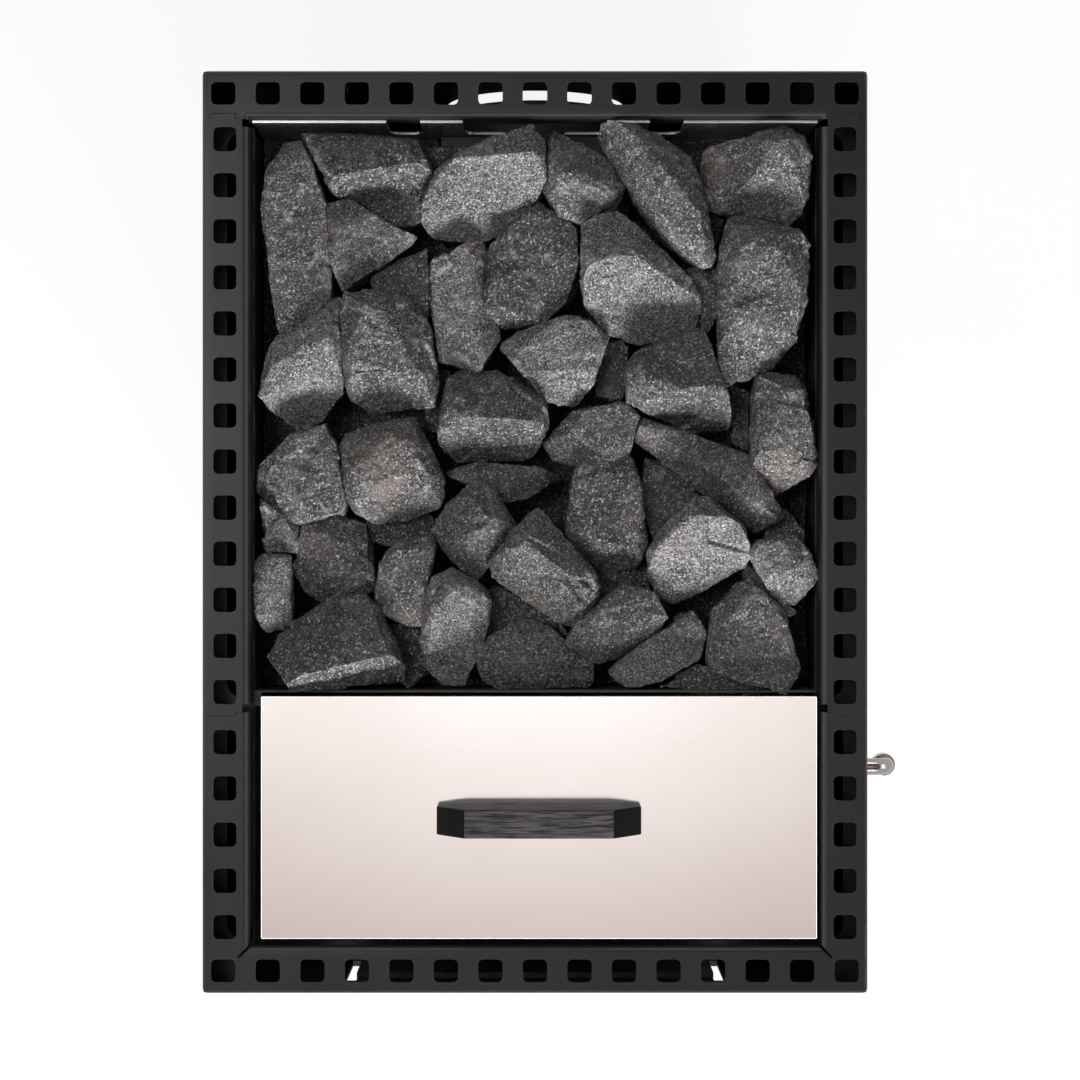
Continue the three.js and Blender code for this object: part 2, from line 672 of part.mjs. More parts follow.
// Ash box under the grate with its pull-out drawer.
const ashHalf = ASH_WIDTH / 2;
const ashFront = PLATE_REAR + GAP;
const ashRear = ashFront + ASH_LENGTH;
const ashTop = FIREBOX_BOTTOM;
const runner = block(60, 80, ashFront, ashRear, WALL_BOTTOM, ASH_FLOOR + 1);
const ashOuter = block(-ashHalf, ashHalf, ashFront, ashRear, ASH_FLOOR, ashTop);
const ashClear = ashHalf - SHEET;
const ashInner = block(-ashClear, ashClear, FRONT, ashRear - SHEET, ASH_FLOOR + SHEET, HEIGHT);
add("ash_box", joined([ashOuter.subtract(ashInner), runner, mirroredX(runner)]), BLACK_STEEL);

const drawerHalf = ashClear - 3;
const drawerFloor = ASH_FLOOR + SHEET + GAP;
const drawerTop = ashTop - 10;
const drawerFront = PLATE_FRONT - GAP;
const drawerRear = ashRear - SHEET - 6;
const drawerOuter = block(-drawerHalf, drawerHalf, drawerFront + GAP, drawerRear, drawerFloor, drawerTop);
const drawerInner = block(
  -drawerHalf + SHEET,
  drawerHalf - SHEET,
  drawerFront + GAP + SHEET,
  drawerRear - SHEET,
  drawerFloor + SHEET,
  HEIGHT,
);
add("ash_drawer", drawerOuter.subtract(drawerInner), BLACK_STEEL);

const FACE_THICK = 10;
const faceHalf = ashHalf + 10;
const faceTop = ASH_MOUTH_TOP + 6;
const faceFront = drawerFront - FACE_THICK;
const faceOutline = roundedRect(-faceHalf, faceHalf, ASH_FLOOR, faceTop, 4);
const facePlate = prism("y", faceOutline, faceFront, drawerFront);
const PULL_HALF = 50;
const PULL_LEG = 8;
const PULL_BAR = 7;
const PULL_REACH = 24;
const PULL_LEVELS = [98, 108];
const pullFront = faceFront - PULL_REACH;
const pullInside = PULL_HALF - PULL_LEG;
const pullOutline = [
  [-PULL_HALF, pullFront],
  [PULL_HALF, pullFront],
  [PULL_HALF, faceFront],
  [pullInside, faceFront],
  [pullInside, pullFront + PULL_BAR],
  [-pullInside, pullFront + PULL_BAR],
  [-pullInside, faceFront],
  [-PULL_HALF, faceFront],
];
const pull = prism("z", pullOutline, ...PULL_LEVELS);
add("ash_drawer_face", facePlate.add(pull), IRON);

// Front plate in the aperture, held by the firebox neck below and a cross rail above.
const hingeX = -PLATE_HALF + 3;
const hingeY = PLATE_FRONT - DOOR_SEAL - DOOR_THICK / 2 - 1;
const HINGE_LEVELS = [DOOR_BOTTOM + 38, DOOR_TOP - 60];
const hingeLugs = HINGE_LEVELS.flatMap((z) => [
  block(hingeX - 4, hingeX + 4, hingeY, PLATE_FRONT + 1, z - HINGE_TALL - GAP, z - GAP),
  bar("z", HINGE_RADIUS, z - HINGE_TALL - GAP, z - GAP, [hingeX, hingeY], 16),
]);
const pinHole = bar("z", HINGE_PIN + GAP, DOOR_BOTTOM, DOOR_TOP, [hingeX, hingeY], 12);
const plateOutline = [
  [-PLATE_FLANK, PLATE_BOTTOM],
  [PLATE_FLANK, PLATE_BOTTOM],
  [PLATE_FLANK, PLATE_NOTCH],
  [PLATE_HALF, PLATE_NOTCH],
  [PLATE_HALF, PLATE_TOP],
  [-PLATE_HALF, PLATE_TOP],
  [-PLATE_HALF, PLATE_NOTCH],
  [-PLATE_FLANK, PLATE_NOTCH],
];
const plateBody = prism("y", plateOutline, PLATE_FRONT, PLATE_REAR);
const upstandTop = APERTURE_TOP + PLATE_UPSTAND;
const upstand = block(-PLATE_HALF, PLATE_HALF, PLATE_FRONT + GAP, PLATE_REAR, PLATE_TOP, upstandTop);
const plateCuts = [
  block(-neckHalf, neckHalf, FRONT, PLATE_REAR + 9, DOORWAY_BOTTOM, DOORWAY_TOP),
  block(-ashClear, ashClear, FRONT, PLATE_REAR + 9, ASH_FLOOR + SHEET, ASH_MOUTH_TOP - 24),
  pinHole,
];
add("front_plate", without(joined([plateBody, upstand, ...hingeLugs]), plateCuts), BLACK_STEEL);

const railTop = HEIGHT - RAIL_DROP;
const railHalf = RIGHT - SHEET - GAP;
const railBody = joined([
  block(-railHalf, railHalf, PLATE_REAR + GAP, PLATE_REAR + GAP + RAIL_LEG, railTop - SHEET, railTop),
  block(-railHalf, railHalf, PLATE_REAR + GAP, PLATE_REAR + GAP + SHEET, railTop - RAIL_LEG, railTop),
]);
add("front_rail", railBody, BLACK_STEEL);

// Door: cast frame with glass, sealing rope, retainer and a wooden grip, hung on one long pin.
const doorLeft = hingeX + HINGE_OFFSET;
const doorRight = doorLeft + DOOR_WIDTH;
const doorBack = PLATE_FRONT - DOOR_SEAL;
const doorFace = doorBack - DOOR_THICK;
const windowBox = [
  doorLeft + DOOR_STILE,
  doorRight - DOOR_STILE,
  DOOR_BOTTOM + DOOR_STILE,
  DOOR_TOP - DOOR_STILE,
];
const frameOutline = roundedRect(doorLeft, doorRight, DOOR_BOTTOM, DOOR_TOP, 5);
const knuckles = HINGE_LEVELS.flatMap((z) => [
  block(hingeX, doorLeft + 1, hingeY - 4, hingeY + 4, z, z + HINGE_TALL),
  bar("z", HINGE_RADIUS, z, z + HINGE_TALL, [hingeX, hingeY], 16),
]);
const windowHole = prism("y", roundedRect(...windowBox, 6), doorFace - 9, doorBack + 9);
const rebate = block(
  windowBox[0] - GLASS_LAP - GAP,
  windowBox[1] + GLASS_LAP + GAP,
  doorBack - GLASS_THICK - 3,
  doorBack + 9,
  windowBox[2] - GLASS_LAP - GAP,
  windowBox[3] + GLASS_LAP + GAP,
);
const doorFrame = without(joined([prism("y", frameOutline, doorFace, doorBack), ...knuckles]), [
  windowHole,
  rebate,
  pinHole,
]);
add("door_frame", doorFrame, IRON);

const glassFront = doorBack - GLASS_THICK - 3 + GAP;
const glass = block(
  windowBox[0] - GLASS_LAP,
  windowBox[1] + GLASS_LAP,
  glassFront,
  glassFront + GLASS_THICK,
  windowBox[2] - GLASS_LAP,
  windowBox[3] + GLASS_LAP,
);
add("door_glass", glass, GLASS);

// The retainer is a thin frame that clamps the glass into its rebate.
const retainerY = [glassFront + GLASS_THICK + GAP, doorBack];
const retainer = block(
  windowBox[0] - GLASS_LAP,
  windowBox[1] + GLASS_LAP,
  ...retainerY,
  windowBox[2] - GLASS_LAP,
  windowBox[3] + GLASS_LAP,
);
const retainerHole = block(
  windowBox[0] + 2,
  windowBox[1] - 2,
  FRONT - 40,
  FRONT + 9,
  windowBox[2] + 2,
  windowBox[3] - 2,
);
add("glass_retainer", retainer.subtract(retainerHole), BARE_STEEL);

const ropeY = [doorBack + GAP, PLATE_FRONT - GAP];
const ropeOuter = roundedRect(-neckHalf - 10, neckHalf + 10, DOORWAY_BOTTOM - 12, DOORWAY_TOP + 12, 6);
const ropeInner = roundedRect(-neckHalf - 2, neckHalf + 2, DOORWAY_BOTTOM - 4, DOORWAY_TOP + 4, 4);
const ropeHole = prism("y", ropeInner, FRONT - 40, FRONT + 40);
add("door_seal", prism("y", ropeOuter, ...ropeY).subtract(ropeHole), ROPE);

const pinBottom = HINGE_LEVELS[0] - HINGE_TALL - 6;
const pinTop = HINGE_LEVELS[1] + HINGE_TALL + GAP;
const hingePin = joined([
  bar("z", HINGE_PIN, pinBottom, pinTop + 1, [hingeX, hingeY], 12),
  bar("z", HINGE_RADIUS - 1, pinTop, pinTop + 4, [hingeX, hingeY], 12),
]);
add("hinge_pin", hingePin, BARE_STEEL);

// Both grips are sawn from the same bar section with sloped ends.
function gripOutline(length) {
  const slope = (GRIP_LENGTH - GRIP_TOP) / 2;
  return [
    [-length / 2, 0],
    [length / 2, 0],
    [length / 2, GRIP_END],
    [length / 2 - slope, GRIP_HEIGHT],
    [-length / 2 + slope, GRIP_HEIGHT],
    [-length / 2, GRIP_END],
  ];
}
const gripX = doorRight - DOOR_STILE / 2;
const gripZ = (DOOR_BOTTOM + DOOR_TOP) / 2;
const gripFlip = gripOutline(GRIP_LENGTH).map(([along, out]) => [doorFace - GAP - out, gripZ + along]);
add("door_grip", prism("x", gripFlip, gripX - GRIP_THICK / 2, gripX + GRIP_THICK / 2), DARK_WOOD);

// Water tank: stainless box on the front of the hot plate, with a lift-off lid.
const TANK_SHEET = 1.5;
const tankOuter = block(
  LID_SHIFT - TANK_HALF_X,
  TANK_RIGHT,
  TANK_Y - TANK_HALF_Y,
  TANK_Y + TANK_HALF_Y,
  STAND,
  TANK_RIM,
);
const tankInner = block(
  LID_SHIFT - TANK_HALF_X + TANK_SHEET,
  TANK_RIGHT - TANK_SHEET,
  TANK_Y - TANK_HALF_Y + TANK_SHEET,
  TANK_Y + TANK_HALF_Y - TANK_SHEET,
  STAND + TANK_SHEET,
  HEIGHT,
);
const NIPPLE = 8;
const nippleHole = bar("x", NIPPLE + GAP, TANK_RIGHT - 9, TANK_RIGHT + 9, [TANK_Y, TAP_Z], 20);
add("water_tank", without(tankOuter, [tankInner, nippleHole]), POLISHED);

const lidLeft = LID_SHIFT - LID_WIDTH / 2;
const lidRight = LID_SHIFT + LID_WIDTH / 2;
const lidFront = TANK_Y - LID_DEPTH / 2;
const lidRear = TANK_Y + LID_DEPTH / 2;
const lidOuter = block(lidLeft, lidRight, lidFront, lidRear, HEIGHT - LID_SKIRT, HEIGHT);
const lidInner = block(
  lidLeft + LID_SHEET,
  lidRight - LID_SHEET,
  lidFront + LID_SHEET,
  lidRear - LID_SHEET,
  0,
  HEIGHT - LID_SHEET,
);
add("tank_lid", lidOuter.subtract(lidInner), POLISHED);
const lidGrip = gripOutline(GRIP_LENGTH).map(([along, up]) => [LID_SHIFT + along, HEIGHT + GAP + up]);
add("lid_grip", prism("y", lidGrip, TANK_Y - GRIP_THICK / 2, TANK_Y + GRIP_THICK / 2), DARK_WOOD);

// Tap: nipple through the tank wall, quarter turn valve outside the casing and a bent spout.
const tapAxis = [TANK_Y, TAP_Z];
const nutStart = TANK_RIGHT - TANK_SHEET - GAP;
const nutBody = bar("x", 14, nutStart - 7, nutStart, tapAxis, 6);
add("tap_lock_nut", nutBody.subtract(bar("x", NIPPLE + GAP, 0, RIGHT, tapAxis, 20)), CHROME);
const BODY_END = VALVE_X + 20;
const valveBody = joined([
  bar("x", NIPPLE, nutStart - 10, VALVE_X, tapAxis, 20),
  bar("x", 16, TANK_RIGHT + GAP, TANK_RIGHT + 4, tapAxis, 20),
  bar("x", 15, RIGHT + 4, RIGHT + 10, tapAxis, 6),
  bar("x", 12.5, RIGHT + 9, VALVE_X + 13, tapAxis, 20),
  bar("x", 10.5, VALVE_X + 12, BODY_END, tapAxis, 6),
  bar("z", 7, TAP_Z, TAP_Z + 19, [VALVE_X, TANK_Y], 16),
]);
add("tap_valve", valveBody, CHROME);
const leverZ = TAP_Z + 19 + GAP;
const leverOutline = roundedRect(VALVE_X - 7, VALVE_X + 7, TANK_Y - 62, TANK_Y + 9, 6, 3);
const lever = joined([
  prism("z", leverOutline, leverZ + 4, leverZ + 8),
  bar("z", 5, leverZ, leverZ + 6, [VALVE_X, TANK_Y], 16),
]);
add("tap_lever", lever, IRON);

const spoutStart = BODY_END + GAP;
const spoutPath = new THREE.CurvePath();
const corner = new THREE.Vector3(TAP_X, TANK_Y, TAP_Z);
const bendIn = new THREE.Vector3(TAP_X - TAP_ELBOW, TANK_Y, TAP_Z);
const bendOut = new THREE.Vector3(TAP_X, TANK_Y, TAP_Z - TAP_ELBOW);
const spoutEnd = new THREE.Vector3(TAP_X, TANK_Y, TAP_Z - TAP_DROP);
spoutPath.add(new THREE.LineCurve3(new THREE.Vector3(spoutStart, TANK_Y, TAP_Z), bendIn));
spoutPath.add(new THREE.QuadraticBezierCurve3(bendIn, corner, bendOut));
spoutPath.add(new THREE.LineCurve3(bendOut, spoutEnd));
const pipeShape = new THREE.Shape();
pipeShape.absarc(0, 0, TAP_PIPE / 2, 0, 2 * Math.PI, false);
const pipeGeometry = new THREE.ExtrudeGeometry(pipeShape, {
  steps: 18,
  curveSegments: 8,
  extrudePath: spoutPath,
});
const nozzle = bar("z", TAP_NOZZLE / 2, TAP_Z - TAP_DROP, TAP_Z - TAP_DROP + 11, [TAP_X, TANK_Y], 24);
const spoutBore = bar("z", TAP_BORE / 2, TAP_Z - TAP_DROP - 9, TAP_Z - TAP_ELBOW, [TAP_X, TANK_Y], 16);
add("tap_spout", solidOf(pipeGeometry).add(nozzle).subtract(spoutBore), CHROME);

// Stones: broken rock, each a rim outline, a crown that leans one way and a narrower foot.
// Plan places are from the middle of the stone room at its drawn size, heights from the deck.
const DRAWN_ROOM = [386, 386];
const roomCentreY = (STONE_FRONT + STONE_REAR) / 2;
const roomScale = [(2 * ROOM_X) / DRAWN_ROOM[0], (STONE_REAR - STONE_FRONT) / DRAWN_ROOM[1]];
const STONE_DROP = 15;
const STONE_TAPER = 0.82;
const LOOSE_GROW = 1.5;
const WEDGE_GROW = 5;
const BED_DROP = 70;
const BED_TOP = HEIGHT - BED_DROP;
const STONE_SINK = 4;
const STONE_FOOT = BED_TOP - STONE_SINK;

function stoneHull(stone, grow) {
  const place = ([x, y]) => [x * roomScale[0], roomCentreY + y * roomScale[1]];
  const rim = stone.rim.map(place);
  const crown = stone.crown.map(place);
  const middle = [0, 1].map((i) => crown.reduce((sum, point) => sum + point[i], 0) / crown.length);
  const level = HEIGHT + stone.top * roomScale[0];
  const lift = ([x, y], part) =>
    level + part * (stone.lean[0] * (x - middle[0]) + stone.lean[1] * (y - middle[1]));
  const points = [
    ...crown.map((p) => new THREE.Vector3(p[0], p[1], lift(p, 1))),
    ...rim.map((p) => new THREE.Vector3(p[0], p[1], lift(p, 0.5) - STONE_DROP)),
    ...rim.map((p) => {
      const x = middle[0] + STONE_TAPER * (p[0] - middle[0]);
      const y = middle[1] + STONE_TAPER * (p[1] - middle[1]);
      return new THREE.Vector3(x, y, STONE_FOOT);
    }),
  ];
  const heart = new THREE.Vector3(middle[0], middle[1], (level + STONE_FOOT) / 2);
  const grown = points.map((p) => {
    const out = p.clone().sub(heart);
    return p.clone().addScaledVector(out.normalize(), grow);
  });
  return solidOf(new ConvexGeometry(grown));
}

// Loose stones of the top layer, the highest first.
const LOOSE_STONES = [
  {
    top: -2,
    lean: [0, -0.2],
    rim: [
      [-158, 187], [-129, 187], [-92, 184], [-80, 184], [-69, 160], [-71, 151], [-92, 141],
      [-125, 142], [-135, 147], [-146, 165],
    ],
    crown: [[-150, 182], [-84, 180], [-73, 163], [-102, 154], [-125, 148], [-137, 154]],
  },
  {
    top: 4,
    lean: [0, 0.3],
    rim: [
      [-76, 138], [-67, 160], [-51, 172], [-24, 184], [-3, 192], [7, 181], [7, 156], [-5, 133],
      [-24, 119], [-37, 114], [-70, 116], [-78, 126],
    ],
    crown: [[-59, 141], [-48, 167], [0, 170], [3, 152], [-14, 131], [-36, 118]],
  },
  {
    top: 0,
    lean: [0, 0.1],
    rim: [
      [9, 181], [12, 191], [37, 177], [52, 167], [61, 153], [55, 137], [31, 125], [17, 129],
      [7, 148],
    ],
    crown: [[14, 175], [44, 162], [52, 148], [34, 133], [17, 141]],
  },
  {
    top: 4,
    lean: [0, 0.15],
    rim: [
      [43, 184], [47, 195], [56, 197], [85, 184], [105, 170], [114, 150], [124, 104], [120, 97],
      [114, 95], [92, 110], [71, 138], [54, 165],
    ],
    crown: [[52, 189], [71, 169], [105, 158], [112, 124], [116, 102], [85, 131], [63, 160]],
  },
  {
    top: 0,
    lean: [0.05, 0.25],
    rim: [
      [112, 160], [116, 178], [143, 184], [170, 191], [182, 184], [188, 171], [185, 147],
      [181, 133], [170, 125], [136, 133], [118, 137],
    ],
    crown: [[139, 148], [145, 165], [165, 179], [180, 175], [180, 148], [167, 131]],
  },
  {
    top: 2,
    lean: [0, 0.15],
    rim: [
      [126, 107], [131, 128], [145, 129], [180, 120], [186, 110], [185, 73], [178, 45], [161, 28],
      [143, 19], [131, 14], [125, 36], [125, 73],
    ],
    crown: [[138, 114], [177, 111], [179, 67], [152, 54], [139, 29], [136, 73]],
  },
  {
    top: 4,
    lean: [-0.1, 0.3],
    rim: [
      [30, 86], [37, 114], [33, 124], [56, 134], [75, 118], [105, 88], [112, 73], [110, 54],
      [71, 43], [48, 51], [34, 70],
    ],
    crown: [[37, 85], [56, 106], [78, 92], [96, 79], [99, 63], [71, 58], [48, 61]],
  },
  {
    top: 2,
    lean: [0, -0.2],
    rim: [
      [61, 26], [68, 37], [90, 48], [115, 56], [122, 34], [131, 5], [135, -17], [105, -18],
      [82, -7], [63, 5],
    ],
    crown: [[66, 24], [90, 43], [114, 50], [129, 8], [105, 6], [78, 16]],
  },
  {
    top: -4,
    lean: [0, 0.05],
    rim: [
      [148, 9], [153, 24], [177, 22], [186, 14], [193, -32], [188, -44], [165, -59], [157, -56],
      [148, -35],
    ],
    crown: [[154, 14], [182, 11], [186, -29], [170, -46], [154, -37]],
  },
  {
    top: -2,
    lean: [0, 0.2],
    rim: [
      [-177, 46], [-160, 58], [-141, 70], [-133, 76], [-129, 43], [-133, 9], [-146, -8],
      [-161, -16], [-177, -4], [-188, 9], [-183, 33],
    ],
    crown: [[-170, 39], [-148, 54], [-137, 43], [-139, 16], [-160, -3], [-177, 16]],
  },
  {
    top: 0,
    lean: [0, 0.12],
    rim: [
      [-134, 60], [-129, 79], [-105, 81], [-85, 75], [-73, 55], [-67, 20], [-69, 1], [-112, -3],
      [-125, 9], [-132, 33],
    ],
    crown: [[-126, 67], [-92, 70], [-78, 43], [-76, 12], [-111, 5], [-125, 36]],
  },
  {
    top: 0,
    lean: [0, -0.15],
    rim: [
      [-66, -15], [-59, 20], [-50, 25], [-24, 25], [7, 5], [9, -12], [1, -32], [-7, -36],
      [-56, -38], [-65, -29],
    ],
    crown: [[-58, 9], [-24, 18], [2, 0], [-3, -18], [-31, -15], [-59, -16]],
  },
  {
    top: -2,
    lean: [0, 0.1],
    rim: [
      [-133, -27], [-129, -18], [-95, -8], [-81, -6], [-76, -22], [-63, -50], [-65, -67],
      [-88, -78], [-110, -79], [-122, -71], [-131, -56],
    ],
    crown: [[-126, -27], [-86, -14], [-76, -46], [-78, -66], [-109, -71], [-122, -56]],
  },
  {
    top: -2,
    lean: [0, -0.02],
    rim: [
      [-70, -83], [-61, -67], [-39, -49], [-27, -57], [-12, -83], [-24, -94], [-39, -117],
      [-50, -111], [-65, -94],
    ],
    crown: [[-59, -80], [-39, -59], [-22, -82], [-36, -100], [-50, -101]],
  },
  {
    top: 2,
    lean: [0, 0.25],
    rim: [
      [-76, -139], [-70, -116], [-56, -110], [-34, -124], [-30, -132], [-35, -161], [-48, -191],
      [-63, -191], [-73, -177], [-78, -158],
    ],
    crown: [[-70, -138], [-61, -117], [-36, -129], [-39, -158], [-50, -170], [-65, -169]],
  },
  {
    top: 2,
    lean: [0, -0.2],
    rim: [
      [-182, -170], [-174, -155], [-139, -131], [-116, -127], [-105, -139], [-89, -177],
      [-90, -188], [-139, -191], [-164, -194], [-170, -185],
    ],
    crown: [
      [-160, -175], [-136, -141], [-115, -135], [-100, -165], [-93, -182], [-114, -173],
      [-139, -182], [-165, -188],
    ],
  },
  {
    top: 4,
    lean: [0, 0.18],
    rim: [
      [-31, -108], [-10, -80], [2, -68], [18, -86], [39, -114], [44, -129], [27, -150], [20, -148],
      [-10, -129], [-26, -119],
    ],
    crown: [[-20, -105], [0, -82], [17, -95], [31, -121], [21, -135], [-7, -123]],
  },
  {
    top: 4,
    lean: [0, 0.35],
    rim: [
      [77, -98], [88, -82], [110, -61], [118, -61], [141, -79], [146, -95], [143, -109],
      [112, -127], [95, -135], [85, -129], [76, -114],
    ],
    crown: [[88, -93], [111, -66], [136, -82], [141, -104], [116, -115], [90, -109]],
  },
];

// Stones wedged lower in the bed.
const WEDGED_STONES = [
  {
    top: -8,
    lean: [0, 0.12],
    rim: [
      [-186, 156], [-177, 168], [-152, 169], [-145, 141], [-139, 94], [-139, 67], [-160, 52],
      [-174, 50], [-182, 87], [-187, 138],
    ],
    crown: [[-177, 155], [-154, 158], [-150, 121], [-170, 111]],
  },
  {
    top: -6,
    lean: [0, 0.15],
    rim: [[-146, 138], [-127, 141], [-92, 124], [-82, 116], [-112, 92], [-131, 80], [-141, 101]],
    crown: [[-138, 133], [-126, 135], [-90, 116], [-114, 99], [-133, 99]],
  },
  {
    top: -22,
    lean: [0, 0],
    rim: [[-112, 84], [-92, 99], [-75, 109], [-70, 73], [-78, 63], [-95, 77]],
    crown: [[-95, 90], [-78, 99], [-77, 80]],
  },
  {
    top: -8,
    lean: [-0.1, 0.1],
    rim: [
      [-73, 73], [-69, 99], [-48, 112], [-35, 114], [-31, 99], [-35, 65], [-24, 49], [-39, 24],
      [-67, 34],
    ],
    crown: [[-58, 87], [-39, 104], [-37, 73], [-39, 43], [-56, 39], [-61, 63]],
  },
  {
    top: -10,
    lean: [0, 0.08],
    rim: [
      [-33, 73], [-31, 110], [3, 140], [16, 129], [28, 122], [29, 99], [21, 73], [7, 58],
      [-24, 55], [-35, 63],
    ],
    crown: [[-20, 104], [7, 124], [20, 111], [14, 75], [-18, 65]],
  },
  {
    top: -8,
    lean: [0, 0.15],
    rim: [[-5, 34], [1, 53], [21, 61], [37, 60], [48, 48], [36, 11], [28, 3], [9, 5]],
    crown: [[5, 43], [27, 53], [33, 43], [31, 16], [14, 12]],
  },
  {
    top: -8,
    lean: [0.05, -0.1],
    rim: [
      [-190, -56], [-188, -40], [-167, -20], [-143, -11], [-135, -29], [-129, -63], [-132, -72],
      [-160, -78], [-180, -76],
    ],
    crown: [[-177, -44], [-146, -22], [-137, -59], [-160, -71], [-170, -61]],
  },
  {
    top: -22,
    lean: [0, 0],
    rim: [[-185, -80], [-163, -75], [-162, -86], [-167, -101], [-184, -94]],
    crown: [[-177, -82], [-167, -82], [-169, -93]],
  },
  {
    top: -14,
    lean: [0, 0.1],
    rim: [[-188, -101], [-167, -101], [-171, -131], [-168, -148], [-184, -153], [-188, -138]],
    crown: [[-185, -110], [-174, -109], [-176, -139]],
  },
  {
    top: -18,
    lean: [0, 0.05],
    rim: [
      [-166, -112], [-160, -80], [-139, -73], [-116, -82], [-112, -124], [-138, -133],
      [-156, -124],
    ],
    crown: [[-152, -93], [-126, -89], [-129, -117], [-143, -123]],
  },
  {
    top: -8,
    lean: [0, 0.12],
    rim: [
      [-110, -131], [-108, -100], [-95, -92], [-70, -87], [-69, -94], [-78, -131], [-77, -148],
      [-89, -148], [-104, -140],
    ],
    crown: [[-92, -98], [-73, -93], [-84, -131], [-92, -139], [-100, -124]],
  },
  {
    top: -10,
    lean: [0, -0.15],
    rim: [
      [20, -86], [27, -42], [37, -27], [66, -35], [76, -63], [77, -95], [69, -108], [44, -114],
      [29, -105],
    ],
    crown: [[29, -63], [39, -35], [63, -42], [71, -76], [54, -83], [27, -83]],
  },
  {
    top: -16,
    lean: [0, 0.15],
    rim: [
      [69, -23], [73, -7], [105, -19], [146, -32], [170, -74], [159, -80], [150, -85], [126, -63],
      [88, -35],
    ],
    crown: [[78, -20], [105, -29], [143, -46], [160, -71], [150, -76], [112, -48]],
  },
  {
    top: -30,
    lean: [0, 0],
    rim: [[73, -56], [77, -34], [112, -56], [105, -67], [82, -94], [77, -76]],
    crown: [[82, -49], [99, -59], [85, -73]],
  },
  {
    top: -8,
    lean: [0, 0.3],
    rim: [[144, -98], [153, -91], [178, -89], [193, -116], [179, -133], [172, -135], [145, -114]],
    crown: [[153, -98], [177, -95], [186, -116], [173, -127], [159, -109]],
  },
  {
    top: -10,
    lean: [0, 0.02],
    rim: [
      [119, -172], [121, -139], [143, -119], [170, -138], [181, -178], [172, -195], [143, -187],
      [122, -180],
    ],
    crown: [[129, -146], [150, -134], [167, -158], [167, -180], [133, -172]],
  },
  {
    top: -18,
    lean: [0, 0.15],
    rim: [[52, -180], [78, -158], [108, -138], [116, -155], [114, -172], [85, -188], [63, -193]],
    crown: [[71, -177], [105, -148], [110, -165], [78, -184]],
  },
  {
    top: -6,
    lean: [0, -0.15],
    rim: [[21, -161], [29, -146], [61, -120], [82, -127], [90, -144], [75, -169], [43, -174]],
    crown: [[34, -155], [63, -129], [82, -139], [68, -152], [51, -159]],
  },
  {
    top: -18,
    lean: [0, 0],
    rim: [
      [-39, -173], [-31, -158], [-7, -144], [20, -157], [39, -173], [39, -191], [-24, -192],
      [-35, -187],
    ],
    crown: [[-27, -165], [-3, -155], [24, -165], [17, -173], [-27, -172]],
  },
  {
    top: -26,
    lean: [0, 0],
    rim: [[-63, -44], [-37, -36], [7, -40], [18, -48], [-14, -63], [-31, -57]],
    crown: [[-48, -42], [3, -44], [-17, -52]],
  },
  {
    top: -14,
    lean: [0, 0.1],
    rim: [[9, -23], [27, -3], [61, 5], [71, -6], [63, -35], [31, -38], [14, -34]],
    crown: [[18, -22], [34, -7], [61, -3], [59, -20], [27, -30]],
  },
  {
    top: -30,
    lean: [0, 0],
    rim: [[160, -63], [173, -71], [184, -83], [184, -97], [160, -93]],
    crown: [[170, -76], [179, -86], [170, -86]],
  },
  {
    top: -28,
    lean: [0, 0],
    rim: [[-176, 165], [-175, 178], [-160, 184], [-148, 169], [-153, 158]],
    crown: [[-167, 172], [-156, 170], [-160, 165]],
  },
  {
    top: -24,
    lean: [0, 0],
    rim: [[-129, 148], [-71, 152], [-76, 133], [-100, 129]],
    crown: [[-105, 139], [-82, 141], [-95, 136]],
  },
  {
    top: -30,
    lean: [0, 0],
    rim: [[-78, 177], [-37, 179], [-44, 165], [-71, 163]],
    crown: [[-65, 174], [-48, 174], [-58, 169]],
  },
  {
    top: -30,
    lean: [0, 0],
    rim: [[37, 43], [61, 46], [65, 26], [59, 5], [42, 9]],
    crown: [[48, 36], [54, 33], [51, 16]],
  },
];

const STONE_HEADROOM = 60;
const roomTop = HEIGHT + STONE_HEADROOM;
const room = block(-ROOM_X + GAP, ROOM_X - GAP, STONE_FRONT, STONE_REAR, STAND, roomTop);
let taken = smokeShell(-STONE_CLEAR);
LOOSE_STONES.forEach((stone, i) => {
  const rock = stoneHull(stone, LOOSE_GROW).intersect(room).subtract(taken);
  add(`stone_${String(i + 1).padStart(2, "0")}`, largest(rock), STONE);
  taken = taken.add(stoneHull(stone, LOOSE_GROW + STONE_CLEAR));
});
const bedFill = block(-ROOM_X, ROOM_X, STONE_FRONT, STONE_REAR, STAND, BED_TOP);
const bed = joined([bedFill, ...WEDGED_STONES.map((stone) => stoneHull(stone, WEDGE_GROW))]);
add("stone_bed", largest(bed.intersect(room).subtract(taken)), STONE);

// The origin is the middle of the underside of the whole object's box.
const frontReach = doorFace - GAP - GRIP_HEIGHT;
stove.position.set(-(TAP_X + TAP_NOZZLE / 2 - RIGHT) / 2, -(REAR + frontReach) / 2, 0);

export default stove;
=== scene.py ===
import bmesh
import bpy
import math
import random
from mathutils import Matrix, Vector, noise


